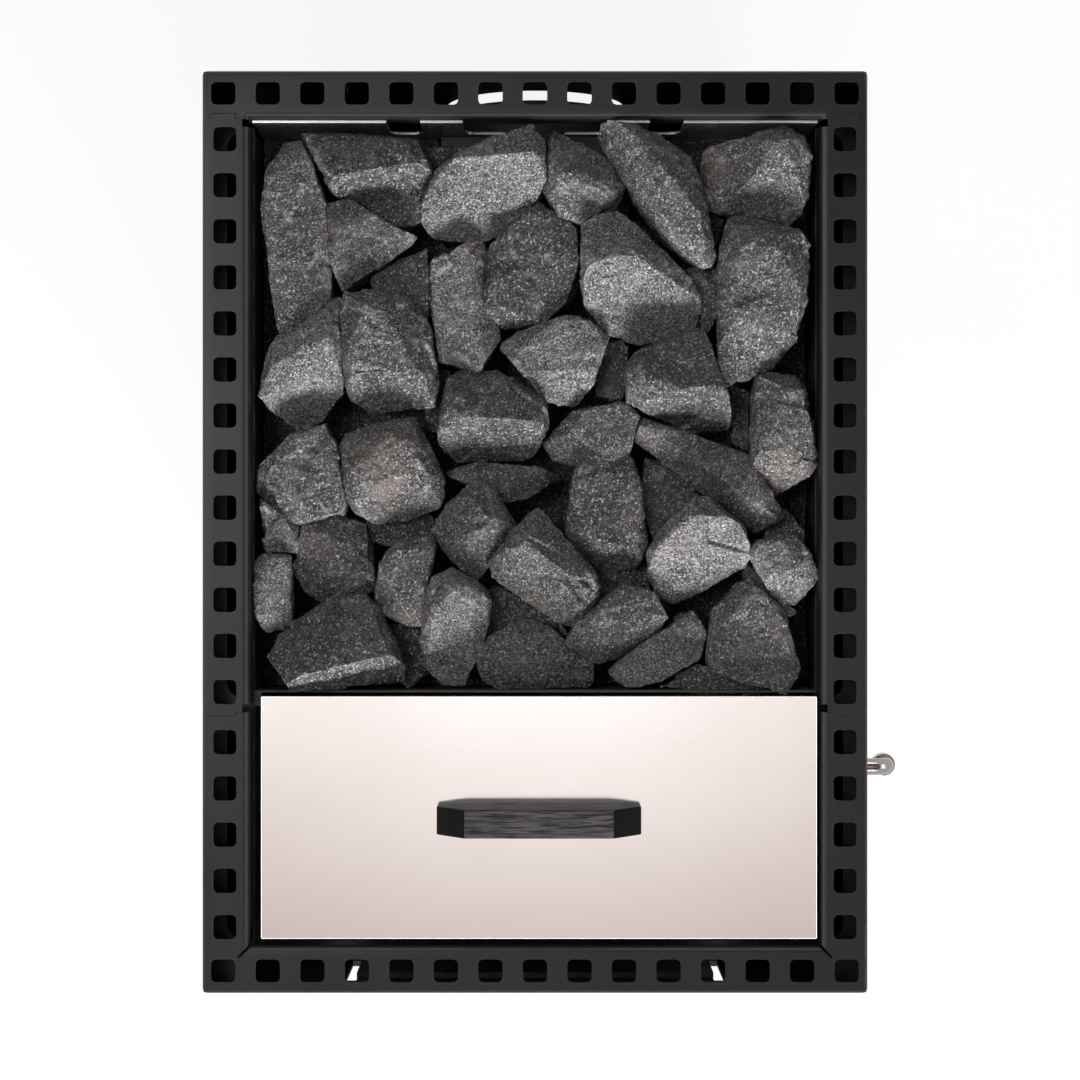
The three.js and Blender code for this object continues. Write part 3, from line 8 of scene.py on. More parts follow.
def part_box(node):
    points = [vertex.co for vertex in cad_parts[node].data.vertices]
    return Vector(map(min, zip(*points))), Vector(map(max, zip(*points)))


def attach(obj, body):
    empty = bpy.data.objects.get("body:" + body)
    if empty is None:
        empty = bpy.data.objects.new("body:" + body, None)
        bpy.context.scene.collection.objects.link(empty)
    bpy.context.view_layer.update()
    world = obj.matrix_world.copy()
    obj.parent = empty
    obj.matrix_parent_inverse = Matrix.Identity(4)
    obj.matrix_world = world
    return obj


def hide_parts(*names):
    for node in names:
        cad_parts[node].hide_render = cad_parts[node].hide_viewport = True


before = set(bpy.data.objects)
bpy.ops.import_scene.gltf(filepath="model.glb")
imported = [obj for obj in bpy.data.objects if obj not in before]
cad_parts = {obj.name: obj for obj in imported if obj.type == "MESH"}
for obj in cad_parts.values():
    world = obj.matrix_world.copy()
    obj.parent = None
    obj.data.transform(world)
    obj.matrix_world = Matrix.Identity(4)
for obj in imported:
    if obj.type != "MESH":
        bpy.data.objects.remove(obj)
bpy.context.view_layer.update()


# Camera
# The stove is seen from straight above, with the fire door towards the lower edge of the picture.
# The camera hangs a little in front of and to the right of the casing's middle.
CAMERA_PLACE = (-0.0342, 0.02125, 2.355)
CAMERA_LENS = 76.7
SENSOR_WIDTH = 36.0

camera = bpy.data.objects.new("camera", bpy.data.cameras.new("camera"))
camera.data.lens = CAMERA_LENS
camera.data.sensor_width = SENSOR_WIDTH
camera.location = CAMERA_PLACE
bpy.context.scene.collection.objects.link(camera)
bpy.context.scene.camera = camera
bpy.context.scene.view_settings.view_transform = "Standard"


# Studio
# A plain white floor and a white sky, with a soft lamp overhead and a stronger low one in front of the stove.
# Polished steel mirrors a ceiling sheet, and long pale strips on four sides draw light lines on the bends.
FLOOR_HALF = 6.0
FLOOR_DROP = 0.0005
FLOOR_GREY = (0.86, 0.86, 0.86, 1.0)
FLOOR_NEAR = 0.9
FLOOR_FAR = 2.6
FLOOR_NEAR_WHITE = 0.88
SKY_LIGHT = 0.14
CEILING_HEIGHT = 3.6
CEILING_HALF = 2.6
CEILING_MIDDLE = (-0.03, -0.12)
CEILING_NARROWING = 0.65
CEILING_INNER = 0.05
CEILING_OUTER = 1.25
CEILING_INNER_GLOW = 1.28
CEILING_OUTER_GLOW = 0.1
CEILING_WHITE_REACH = 0.1
CEILING_WARM_REACH = 0.6
CEILING_WHITE = (1.0, 0.985, 0.97, 1.0)
CEILING_WARM = (1.0, 0.87, 0.83, 1.0)
OVERHEAD_PLACE = (-0.9, 0.3, 2.7)
OVERHEAD_SIZE = 0.9
OVERHEAD_POWER = 15.0
FRONT_PLACE = (0.3, -2.9, 1.62)
FRONT_LONG = 1.8
FRONT_BROAD = 0.8
FRONT_POWER = 280.0
STRIP_DISTANCE = 2.6
STRIP_HEIGHT = 2.3
STRIP_LONG = 2.4
STRIP_BROAD = 0.7
STRIP_POWER = 30.0


def put(tree, kind, inputs=None, **settings):
    """A shader node with its settings and inputs; an input that is a socket is linked."""
    node = tree.nodes.new(kind)
    for name, value in settings.items():
        setattr(node, name, value)
    for name, value in (inputs or {}).items():
        if isinstance(value, bpy.types.NodeSocket):
            tree.links.new(value, node.inputs[name])
        else:
            node.inputs[name].default_value = value
    return node


def seen_directly(tree):
    """1 for a ray from the camera, a mirror or a pane, 0 for a ray that gathers light."""
    path = put(tree, "ShaderNodeLightPath")
    mirror = put(tree, "ShaderNodeMath", {0: path.outputs["Is Camera Ray"], 1: path.outputs["Is Glossy Ray"]},
                 operation="MAXIMUM")
    both = put(tree, "ShaderNodeMath", {0: mirror.outputs[0], 1: path.outputs["Is Transmission Ray"]},
               operation="MAXIMUM")
    return both.outputs[0]


world = bpy.data.worlds.new("studio_sky")
bpy.context.scene.world = world
world.use_nodes = True
sky = world.node_tree
sky_strength = put(sky, "ShaderNodeMapRange",
                   {"Value": seen_directly(sky), "To Min": SKY_LIGHT, "To Max": 1.0})
sky.links.new(sky_strength.outputs[0], sky.nodes["Background"].inputs["Strength"])
sky.nodes["Background"].inputs["Color"].default_value = (1.0, 1.0, 1.0, 1.0)


def sheet_object(name, half, height, facing):
    """A square sheet of the studio, which isn't part of the stove."""
    mesh = bpy.data.meshes.new(name)
    corners = [(-half, -half, height), (half, -half, height), (half, half, height), (-half, half, height)]
    mesh.from_pydata(corners, [], [(0, 1, 2, 3) if facing > 0 else (3, 2, 1, 0)])
    made = bpy.data.objects.new(name, mesh)
    bpy.context.scene.collection.objects.link(made)
    return made


floor = sheet_object("floor", FLOOR_HALF, -FLOOR_DROP, 1)
floor_white = bpy.data.materials.new("floor_white")
floor_white.use_nodes = True
tree = floor_white.node_tree
plain = put(tree, "ShaderNodeBsdfDiffuse", {"Color": FLOOR_GREY})
white = put(tree, "ShaderNodeEmission", {"Color": (1.0, 1.0, 1.0, 1.0), "Strength": 1.0})
floor_place = put(tree, "ShaderNodeTexCoord")
floor_reach = put(tree, "ShaderNodeVectorMath", {0: floor_place.outputs["Object"]}, operation="LENGTH")
floor_fade = put(tree, "ShaderNodeMapRange",
                 {"Value": floor_reach.outputs["Value"], "From Min": FLOOR_NEAR, "From Max": FLOOR_FAR,
                  "To Min": FLOOR_NEAR_WHITE, "To Max": 1.0})
share = put(tree, "ShaderNodeMath", {0: seen_directly(tree), 1: floor_fade.outputs[0]}, operation="MULTIPLY")
floor_mix = put(tree, "ShaderNodeMixShader", {0: share.outputs[0], 1: plain.outputs[0], 2: white.outputs[0]})
tree.links.new(floor_mix.outputs[0], tree.nodes["Material Output"].inputs["Surface"])
floor.data.materials.append(floor_white)

ceiling = sheet_object("ceiling", CEILING_HALF, CEILING_HEIGHT, -1)
ceiling_glow = bpy.data.materials.new("ceiling_glow")
ceiling_glow.use_nodes = True
tree = ceiling_glow.node_tree
place = put(tree, "ShaderNodeTexCoord")
split = put(tree, "ShaderNodeSeparateXYZ", {0: place.outputs["Object"]})
across = put(tree, "ShaderNodeMath", {0: split.outputs["X"], 1: CEILING_MIDDLE[0]}, operation="SUBTRACT")
along = put(tree, "ShaderNodeMath", {0: split.outputs["Y"], 1: CEILING_MIDDLE[1]}, operation="SUBTRACT")
narrowed = put(tree, "ShaderNodeMath", {0: across.outputs[0], 1: CEILING_NARROWING}, operation="MULTIPLY")
offset = put(tree, "ShaderNodeCombineXYZ", {"X": narrowed.outputs[0], "Y": along.outputs[0]})
distance = put(tree, "ShaderNodeVectorMath", {0: offset.outputs[0]}, operation="LENGTH")
level = put(tree, "ShaderNodeMapRange",
            {"Value": distance.outputs["Value"], "From Min": CEILING_INNER, "From Max": CEILING_OUTER,
             "To Min": CEILING_INNER_GLOW, "To Max": CEILING_OUTER_GLOW})
hue = put(tree, "ShaderNodeMapRange",
          {"Value": distance.outputs["Value"], "From Min": CEILING_WHITE_REACH,
           "From Max": CEILING_WARM_REACH})
tint = put(tree, "ShaderNodeMix", {"Factor": hue.outputs[0]}, data_type="RGBA")
tint.inputs[6].default_value = CEILING_WHITE
tint.inputs[7].default_value = CEILING_WARM
glow = put(tree, "ShaderNodeEmission", {"Color": tint.outputs[2], "Strength": level.outputs[0]})
tree.links.new(glow.outputs[0], tree.nodes["Material Output"].inputs["Surface"])
ceiling.data.materials.append(ceiling_glow)
ceiling.visible_camera = False
ceiling.visible_diffuse = False
ceiling.visible_shadow = False


def soft_lamp(name, location, target, size, power, depth=None):
    """A soft lamp that faces a point, square or as long as its depth says."""
    lamp = bpy.data.lights.new(name, "AREA")
    lamp.shape = "RECTANGLE"
    lamp.size = size
    lamp.size_y = depth or size
    lamp.energy = power
    made = bpy.data.objects.new(name, lamp)
    made.location = location
    made.rotation_euler = (Vector(target) - Vector(location)).to_track_quat("-Z", "Y").to_euler()
    bpy.context.scene.collection.objects.link(made)
    return made


STOVE_TOP = (-0.03, 0.05, 0.8)
soft_lamp("overhead_lamp", OVERHEAD_PLACE, STOVE_TOP, OVERHEAD_SIZE, OVERHEAD_POWER)
front_lamp = soft_lamp("front_lamp", FRONT_PLACE, STOVE_TOP, FRONT_LONG, FRONT_POWER, FRONT_BROAD)
front_lamp.visible_glossy = False
for side, place in (("left", (-1, 0)), ("right", (1, 0)), ("rear", (0, 1)), ("near", (0, -1))):
    strip_place = (place[0] * STRIP_DISTANCE, place[1] * STRIP_DISTANCE, STRIP_HEIGHT)
    strip = soft_lamp(side + "_strip", strip_place, STOVE_TOP, STRIP_LONG, STRIP_POWER, STRIP_BROAD)
    strip.visible_diffuse = False


# Feet and base plate
# Four turned steel feet stand under a flat base plate, which carries everything and has two long air windows.
# Both are mild steel, painted with matt heat-proof black, and the feet are fixed from below.
FOOT_BREAK = 0.0006
BASE_BREAK = 0.0005
CORNER_JOIN = 2e-6
FLAT_ANGLE = 0.6
SHARP_ANGLE = 38.0
HEAT_BLACK = (0.016, 0.016, 0.017, 1.0)
HEAT_BLACK_DULL = (0.021, 0.0205, 0.0205, 1.0)
HEAT_EDGE = (0.09, 0.085, 0.08, 1.0)


def new_group(name, inputs, outputs):
    """A shader node group with its sockets, and its input and output nodes."""
    group = bpy.data.node_groups.new(name, "ShaderNodeTree")
    for label, kind, value in inputs:
        socket = group.interface.new_socket(label, in_out="INPUT", socket_type=kind)
        socket.default_value = value
    for label, kind in outputs:
        group.interface.new_socket(label, in_out="OUTPUT", socket_type=kind)
    return group, group.nodes.new("NodeGroupInput"), group.nodes.new("NodeGroupOutput")


# Worn edges: the mask is bright where a rounded normal leaves the true one, broken up by noise.
worn_edges, given, result = new_group(
    "worn_edges",
    [("Width", "NodeSocketFloat", 0.0012), ("Breakup", "NodeSocketFloat", 160.0)],
    [("Mask", "NodeSocketFloat")],
)
rounded = put(worn_edges, "ShaderNodeBevel", {"Radius": given.outputs["Width"]}, samples=4)
surface = put(worn_edges, "ShaderNodeNewGeometry")
agree = put(worn_edges, "ShaderNodeVectorMath",
            {0: rounded.outputs[0], 1: surface.outputs["True Normal"]}, operation="DOT_PRODUCT")
edge = put(worn_edges, "ShaderNodeMapRange",
           {"Value": agree.outputs["Value"], "From Min": 0.995, "From Max": 0.88})
spot_place = put(worn_edges, "ShaderNodeTexCoord")
spots = put(worn_edges, "ShaderNodeTexNoise",
            {"Vector": spot_place.outputs["Object"], "Scale": given.outputs["Breakup"], "Detail": 5.0})
broken = put(worn_edges, "ShaderNodeMapRange",
             {"Value": spots.outputs[0], "From Min": 0.42, "From Max": 0.62})
worn = put(worn_edges, "ShaderNodeMath", {0: edge.outputs[0], 1: broken.outputs[0]}, operation="MULTIPLY")
worn_edges.links.new(worn.outputs[0], result.inputs["Mask"])

# Sprayed film: the fine orange peel of a sprayed coat as a height, and slow blotches as a mask.
sprayed_film, given, result = new_group(
    "sprayed_film",
    [("Peel Scale", "NodeSocketFloat", 900.0), ("Blotch Scale", "NodeSocketFloat", 9.0)],
    [("Height", "NodeSocketFloat"), ("Blotch", "NodeSocketFloat"), ("Grain", "NodeSocketFloat")],
)
film_place = put(sprayed_film, "ShaderNodeTexCoord")
peel = put(sprayed_film, "ShaderNodeTexNoise",
           {"Vector": film_place.outputs["Object"], "Scale": given.outputs["Peel Scale"], "Detail": 3.0})
blotch = put(sprayed_film, "ShaderNodeTexNoise",
             {"Vector": film_place.outputs["Object"], "Scale": given.outputs["Blotch Scale"], "Detail": 4.0})
grain = put(sprayed_film, "ShaderNodeTexVoronoi",
            {"Vector": film_place.outputs["Object"], "Scale": given.outputs["Peel Scale"]})
sprayed_film.links.new(peel.outputs[0], result.inputs["Height"])
sprayed_film.links.new(blotch.outputs[0], result.inputs["Blotch"])
sprayed_film.links.new(grain.outputs["Distance"], result.inputs["Grain"])


def finish_of(name):
    """A new material with its node tree and its Principled shader."""
    material = bpy.data.materials.new(name)
    material.use_nodes = True
    return material, material.node_tree, material.node_tree.nodes["Principled BSDF"]


def mixed(tree, share, first, second):
    """A colour between two colours or sockets."""
    node = put(tree, "ShaderNodeMix", data_type="RGBA")
    for socket, value in ((node.inputs[0], share), (node.inputs[6], first), (node.inputs[7], second)):
        if isinstance(value, bpy.types.NodeSocket):
            tree.links.new(value, socket)
        else:
            socket.default_value = value
    return node.outputs[2]


def ranged(tree, value, low, high, to_low, to_high):
    """A value carried from one range to another."""
    node = put(tree, "ShaderNodeMapRange", {"Value": value, "From Min": low, "From Max": high,
                                            "To Min": to_low, "To Max": to_high})
    return node.outputs[0]


def grouped(tree, group, **values):
    """A node group placed in a material with its own values."""
    node = put(tree, "ShaderNodeGroup", node_tree=group)
    for name, value in values.items():
        node.inputs[name.replace("_", " ")].default_value = value
    return node


def bumped(tree, shader, height, strength, distance):
    """A bump from a height, on a shader's normal."""
    bump = put(tree, "ShaderNodeBump", {"Height": height, "Strength": strength, "Distance": distance})
    tree.links.new(bump.outputs[0], shader.inputs["Normal"])


def sprayed_finish(name, colour, dull, edge_colour, roughness, peel_scale, peel_depth):
    """A sprayed or baked coat on steel: orange peel, slow blotches and edges that show wear."""
    material, tree, shader = finish_of(name)
    film = grouped(tree, sprayed_film, Peel_Scale=peel_scale, Blotch_Scale=7.0)
    edges = grouped(tree, worn_edges, Width=0.0011)
    body = mixed(tree, ranged(tree, film.outputs["Blotch"], 0.35, 0.7, 0.0, 1.0), colour, dull)
    edge_share = ranged(tree, edges.outputs["Mask"], 0.0, 1.0, 0.0, 0.55)
    tree.links.new(mixed(tree, edge_share, body, edge_colour), shader.inputs["Base Color"])
    rough = ranged(tree, film.outputs["Blotch"], 0.3, 0.7, roughness - 0.05, roughness + 0.05)
    tree.links.new(rough, shader.inputs["Roughness"])
    bumped(tree, shader, film.outputs["Height"], 0.35, peel_depth)
    return material


heat_paint = sprayed_finish("heat_paint", HEAT_BLACK, HEAT_BLACK_DULL, HEAT_EDGE,
                            roughness=0.62, peel_scale=1400.0, peel_depth=0.0002)


def cleaned_copy(node):
    """A copy of a solid's mesh with its corners joined and its flat faces made whole."""
    work = bmesh.new()
    work.from_mesh(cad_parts[node].data)
    bmesh.ops.remove_doubles(work, verts=work.verts, dist=CORNER_JOIN)
    bmesh.ops.dissolve_limit(work, angle_limit=math.radians(FLAT_ANGLE), verts=work.verts, edges=work.edges,
                             use_dissolve_boundaries=False)
    for face in work.faces:
        face.smooth = True
    mesh = bpy.data.meshes.new(node)
    work.to_mesh(mesh)
    work.free()
    return mesh


def dressed(node, body, material, edge, segments=2):
    """A piece over a solid: the same shape, with its sharp edges broken as the maker leaves them."""
    piece = bpy.data.objects.new("dressed_" + node, cleaned_copy(node))
    bpy.context.scene.collection.objects.link(piece)
    piece.data.materials.append(material)
    broken_edge = piece.modifiers.new("broken_edge", "BEVEL")
    broken_edge.width = edge
    broken_edge.segments = segments
    broken_edge.limit_method = "ANGLE"
    broken_edge.angle_limit = math.radians(SHARP_ANGLE)
    broken_edge.use_clamp_overlap = True
    flat = piece.modifiers.new("flat_faces", "WEIGHTED_NORMAL")
    flat.mode = "FACE_AREA"
    flat.weight = 90
    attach(piece, body)
    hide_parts(node)
    return piece


for foot in ("foot_front_left", "foot_front_right", "foot_rear_left", "foot_rear_right"):
    dressed(foot, "stove", heat_paint, FOOT_BREAK)
dressed("base_plate", "stove", heat_paint, BASE_BREAK)


# Fire chamber
# The welded firebox has a door neck and a cast grate over the ash box, and a thick hot plate closes it.
# A welded smoke box over the plate's flame hole leads up to the flue at the rear.
CAST_BLACK = (0.02, 0.02, 0.021, 1.0)
CAST_WORN = (0.075, 0.072, 0.07, 1.0)
CAST_EDGE = (0.14, 0.135, 0.13, 1.0)
PLATE_BREAK = 0.0007
CAST_BREAK = 0.001

cast_iron, tree, shader = finish_of("cast_iron")
film = grouped(tree, sprayed_film, Peel_Scale=620.0, Blotch_Scale=14.0)
edges = grouped(tree, worn_edges, Width=0.0016)
iron_body = mixed(tree, ranged(tree, film.outputs["Blotch"], 0.35, 0.7, 0.0, 0.5), CAST_BLACK, CAST_WORN)
iron_edge = ranged(tree, edges.outputs["Mask"], 0.0, 1.0, 0.0, 0.45)
tree.links.new(mixed(tree, iron_edge, iron_body, CAST_EDGE), shader.inputs["Base Color"])
tree.links.new(ranged(tree, film.outputs["Grain"], 0.0, 0.6, 0.5, 0.7), shader.inputs["Roughness"])
shader.inputs["Metallic"].default_value = 0.2
bumped(tree, shader, film.outputs["Grain"], 0.45, 0.0006)

for part in ("firebox", "smoke_box", "ash_box"):
    dressed(part, "stove", heat_paint, PLATE_BREAK)
for part in ("grate", "hot_plate"):
    dressed(part, "stove", cast_iron, CAST_BREAK)


# Liners and tank divider
# Thin steel sheets stand on the hot plate round the stone room, and a divider parts the room from the tank.
# The rear sheet is bare and bright, with notches in its upper edge; the others are painted matt black.
BRIGHT_SHEET = (0.62, 0.62, 0.63, 1.0)
BRIGHT_SHEET_DULL = (0.36, 0.36, 0.37, 1.0)
UPRIGHT_LINES = (500.0, 500.0, 8.0)
SHEET_BREAK = 0.0003

# Rolled lines: fine long lines left by rolling or brushing, as a mask that runs along x, y or z.
rolled_lines, given, result = new_group(
    "rolled_lines",
    [("Stretch", "NodeSocketVector", (6.0, 900.0, 900.0)), ("Cloud Scale", "NodeSocketFloat", 12.0)],
    [("Lines", "NodeSocketFloat"), ("Cloud", "NodeSocketFloat")],
)
line_place = put(rolled_lines, "ShaderNodeTexCoord")
stretched = put(rolled_lines, "ShaderNodeVectorMath",
                {0: line_place.outputs["Object"], 1: given.outputs["Stretch"]}, operation="MULTIPLY")
lines = put(rolled_lines, "ShaderNodeTexNoise", {"Vector": stretched.outputs[0], "Scale": 1.0, "Detail": 3.0})
cloud = put(rolled_lines, "ShaderNodeTexNoise",
            {"Vector": line_place.outputs["Object"], "Scale": given.outputs["Cloud Scale"], "Detail": 4.0})
rolled_lines.links.new(lines.outputs[0], result.inputs["Lines"])
rolled_lines.links.new(cloud.outputs[0], result.inputs["Cloud"])


def bare_finish(name, colour, dull, roughness, spread, stretch, line_depth):
    """Bare or polished steel: rolled lines, a cloudy dullness and a metallic shine."""
    material, tree, shader = finish_of(name)
    rolled = grouped(tree, rolled_lines, Stretch=stretch, Cloud_Scale=11.0)
    tone = mixed(tree, ranged(tree, rolled.outputs["Cloud"], 0.3, 0.7, 0.0, 1.0), colour, dull)
    tree.links.new(tone, shader.inputs["Base Color"])
    rough = ranged(tree, rolled.outputs["Lines"], 0.3, 0.7, roughness - spread, roughness + spread)
    tree.links.new(rough, shader.inputs["Roughness"])
    shader.inputs["Metallic"].default_value = 1.0
    bumped(tree, shader, rolled.outputs["Lines"], 0.15, line_depth)
    return material


bright_sheet = bare_finish("bright_sheet", BRIGHT_SHEET, BRIGHT_SHEET_DULL,
                           roughness=0.34, spread=0.08, stretch=UPRIGHT_LINES, line_depth=0.00008)
dressed("rear_liner", "stove", bright_sheet, SHEET_BREAK)
for part in ("left_liner", "right_liner", "tank_divider"):
    dressed(part, "stove", heat_paint, SHEET_BREAK)


# Casing
# Folded steel sheets, powder coated in satin black, each have a shelf near the top that carries the rim.
# Upright flanges at their joints take the bolts between neighbouring sheets.
COAT_BLACK = (0.0085, 0.0078, 0.0082, 1.0)
COAT_DULL = (0.0110, 0.0103, 0.0107, 1.0)
COAT_EDGE = (0.05, 0.047, 0.049, 1.0)
COAT_SHINE = 0.3
CASING_BREAK = 0.0005

powder_coat = sprayed_finish("powder_coat", COAT_BLACK, COAT_DULL, COAT_EDGE,
                             roughness=0.42, peel_scale=1100.0, peel_depth=0.00012)
powder_coat.node_tree.nodes["Principled BSDF"].inputs["Specular IOR Level"].default_value = COAT_SHINE
for part in ("left_side_panel", "right_side_panel", "front_casing", "rear_casing"):
    dressed(part, "stove", powder_coat, CASING_BREAK)


# Rim
# Four perforated channels, bent with a soft inner edge, lie on the casing's shelves and let its warm air out.
# They are powder coated like the casing; the corners are mitred, and tabs in the decks lock the joints.
RIM_BREAK = 0.0005

for part in ("front_rim_frame", "rear_rim_frame", "left_rim_channel", "right_rim_channel"):
    dressed(part, "stove", powder_coat, RIM_BREAK)


# Flue socket
# A short steel tube with a flange, fixed to the rear of the smoke box, takes the end of the flue pipe.
# It stops just short of the round hole in the rear casing and is painted black.
SOCKET_BREAK = 0.0005

dressed("flue_socket", "stove", heat_paint, SOCKET_BREAK)


# Stones
# Broken olivine rock fills the room round the smoke box: large loose stones lie on a bed of wedged ones.
# Each has split faces with a crystalline grain, pale flecks and a few rusty patches.
STONE_VOXEL = 0.0015
STONE_CHIPS = 4
STONE_RIDGE = 28.0
STONE_SHINE = 0.2
CHIP_DIPS = (15.0, 50.0)
CHIP_DEPTHS = (0.001, 0.004)
SEED_SHIFT = (1.37, 2.11, 0.73)
SLOPE_FINENESS = 3.7
# Steps between the three places in the noise that give a small face its slope along x, y and z.
SLOPE_STEPS = (Vector((0.0, 0.0, 0.0)), Vector((17.3, 5.1, 0.0)), Vector((3.9, 31.7, 11.2)))
EDGE_WIDTH = 0.0017
EDGE_BREAKUP = 120.0
RUST_STRENGTH = 0.42
STONE_DARK = (0.030, 0.0295, 0.0302)
STONE_GREY = (0.122, 0.119, 0.12)
STONE_PALE = (0.5, 0.49, 0.485)
STONE_PIT = (0.009, 0.009, 0.0095, 1.0)
STONE_FLECK = (0.6, 0.59, 0.57, 1.0)
STONE_RUST = (0.2, 0.135, 0.11, 1.0)
STONE_EDGE = (0.34, 0.33, 0.325, 1.0)
CLOUD_SCALE = 38.0
GRAIN_SCALE = 780.0
FLECK_SCALE = 950.0
PATCH_SCALE = 19.0
# The skin's height: coarse facets, fine facets and grit, each as a fineness per metre and a height in metres.
COARSE_FACETS = (24.0, 0.0042)
FINE_FACETS = (66.0, 0.0018)
GRIT = (230.0, 0.0008)
# Each tone's brightness and its share of rust.
STONE_TONES = {
    "dark": (0.4, 0.4),
    "plain": (0.58, 0.5),
    "pale": (0.95, 0.4),
    "rusty": (0.62, 0.75),
}
STONE_KINDS = {
    "stone_01": "dark", "stone_02": "pale", "stone_05": "rusty", "stone_07": "pale", "stone_08": "dark",
    "stone_10": "pale", "stone_12": "dark", "stone_13": "rusty", "stone_15": "pale", "stone_16": "dark",
    "stone_17": "rusty", "stone_18": "pale",
}
# The main split faces of each stone: the bearing from +x and the dip from level, in degrees, and the depth.
STONE_SPLITS = {
    "stone_01": ((-80, 52, 0.010), (95, 20, 0.003)),
    "stone_02": ((-85, 30, 0.018), (95, 32, 0.005)),
    "stone_03": ((-95, 30, 0.007), (60, 35, 0.006)),
    "stone_04": ((200, 40, 0.012), (30, 35, 0.008)),
    "stone_05": ((-85, 30, 0.009), (170, 35, 0.010)),
    "stone_06": ((-110, 35, 0.012), (15, 30, 0.007)),
    "stone_07": ((-85, 34, 0.016), (80, 28, 0.007)),
    "stone_08": ((-85, 50, 0.017), (80, 15, 0.004)),
    "stone_09": ((-100, 38, 0.010), (170, 30, 0.006)),
    "stone_10": ((-75, 36, 0.015), (150, 30, 0.006)),
    "stone_11": ((-100, 36, 0.011), (20, 35, 0.007)),
    "stone_12": ((-90, 52, 0.016), (80, 16, 0.004)),
    "stone_13": ((-80, 34, 0.010), (140, 28, 0.007)),
    "stone_14": ((-50, 36, 0.008), (160, 34, 0.008)),
    "stone_15": ((-70, 34, 0.012), (140, 34, 0.007)),
    "stone_16": ((-75, 54, 0.014), (100, 22, 0.005)),
    "stone_17": ((-110, 30, 0.010), (40, 36, 0.009)),
    "stone_18": ((-80, 34, 0.014), (70, 26, 0.006)),
}


def stone_finish(name, brightness, rust):
    """Dark crystalline rock with pale flecks; brightness scales the greys, rust the brown patches."""
    material, tree, shader = finish_of(name)
    place = put(tree, "ShaderNodeTexCoord")
    cloud = put(tree, "ShaderNodeTexNoise", {"Vector": place.outputs["Object"], "Scale": CLOUD_SCALE,
                                             "Detail": 6.0, "Roughness": 0.62})
    grain = put(tree, "ShaderNodeTexNoise", {"Vector": place.outputs["Object"], "Scale": GRAIN_SCALE,
                                             "Detail": 3.0, "Roughness": 0.65})
    fleck = put(tree, "ShaderNodeTexVoronoi", {"Vector": place.outputs["Object"], "Scale": FLECK_SCALE})
    patch = put(tree, "ShaderNodeTexNoise",
                {"Vector": place.outputs["Object"], "Scale": PATCH_SCALE, "Detail": 5.0})
    dark = tuple(brightness * v for v in STONE_DARK) + (1.0,)
    grey = tuple(brightness * v for v in STONE_GREY) + (1.0,)
    pale = tuple(brightness * v for v in STONE_PALE) + (1.0,)
    body = mixed(tree, ranged(tree, cloud.outputs[0], 0.34, 0.7, 0.0, 1.0), dark, grey)
    speckled = mixed(tree, ranged(tree, grain.outputs[0], 0.5, 0.72, 0.0, 0.85), body, pale)
    dotted = mixed(tree, ranged(tree, grain.outputs[0], 0.47, 0.3, 0.0, 0.9), speckled, STONE_PIT)
    fleck_share = ranged(tree, fleck.outputs["Color"], 0.74, 0.92, 0.0, 0.6)
    flecked = mixed(tree, fleck_share, dotted, STONE_FLECK)
    rust_share = ranged(tree, patch.outputs[0], 0.56, 0.72, 0.0, RUST_STRENGTH * rust)
    stained = mixed(tree, rust_share, flecked, STONE_RUST)
    edges = grouped(tree, worn_edges, Width=EDGE_WIDTH, Breakup=EDGE_BREAKUP)
    edge_share = ranged(tree, edges.outputs["Mask"], 0.0, 1.0, 0.0, 0.55)
    tree.links.new(mixed(tree, edge_share, stained, STONE_EDGE), shader.inputs["Base Color"])
    tree.links.new(ranged(tree, fleck.outputs["Color"], 0.2, 0.9, 0.78, 0.42), shader.inputs["Roughness"])
    height = put(tree, "ShaderNodeMath", {0: grain.outputs[0], 1: cloud.outputs[0]}, operation="ADD")
    shader.inputs["Specular IOR Level"].default_value = STONE_SHINE
    bumped(tree, shader, height.outputs[0], 0.6, 0.0016)
    return material


stone_finishes = {kind: stone_finish("stone_" + kind, *tone) for kind, tone in STONE_TONES.items()}


def flattened(mesh, facing, depth):
    """Cuts a mesh's outermost part back to a plane, given by its direction and the depth of the cut."""
    level = max(vertex.co.dot(facing) for vertex in mesh.vertices) - depth
    for vertex in mesh.vertices:
        over = vertex.co.dot(facing) - level
        if over > 0.0:
            vertex.co = vertex.co - facing * over


def dipping(bearing, dip):
    """The direction that a face looks in, from its bearing and its dip from level in degrees."""
    return Vector((math.cos(math.radians(bearing)) * math.sin(math.radians(dip)),
                   math.sin(math.radians(bearing)) * math.sin(math.radians(dip)),
                   math.cos(math.radians(dip))))


def broken_face(place, fineness, shift):
    """The height of a broken surface: small flat faces, each sloping its own way, with steps between them."""
    inside = place * fineness + shift
    middle = noise.voronoi(inside)[1][0]
    slope = Vector([noise.noise(middle * SLOPE_FINENESS + step) for step in SLOPE_STEPS])
    return slope.dot(inside - middle)


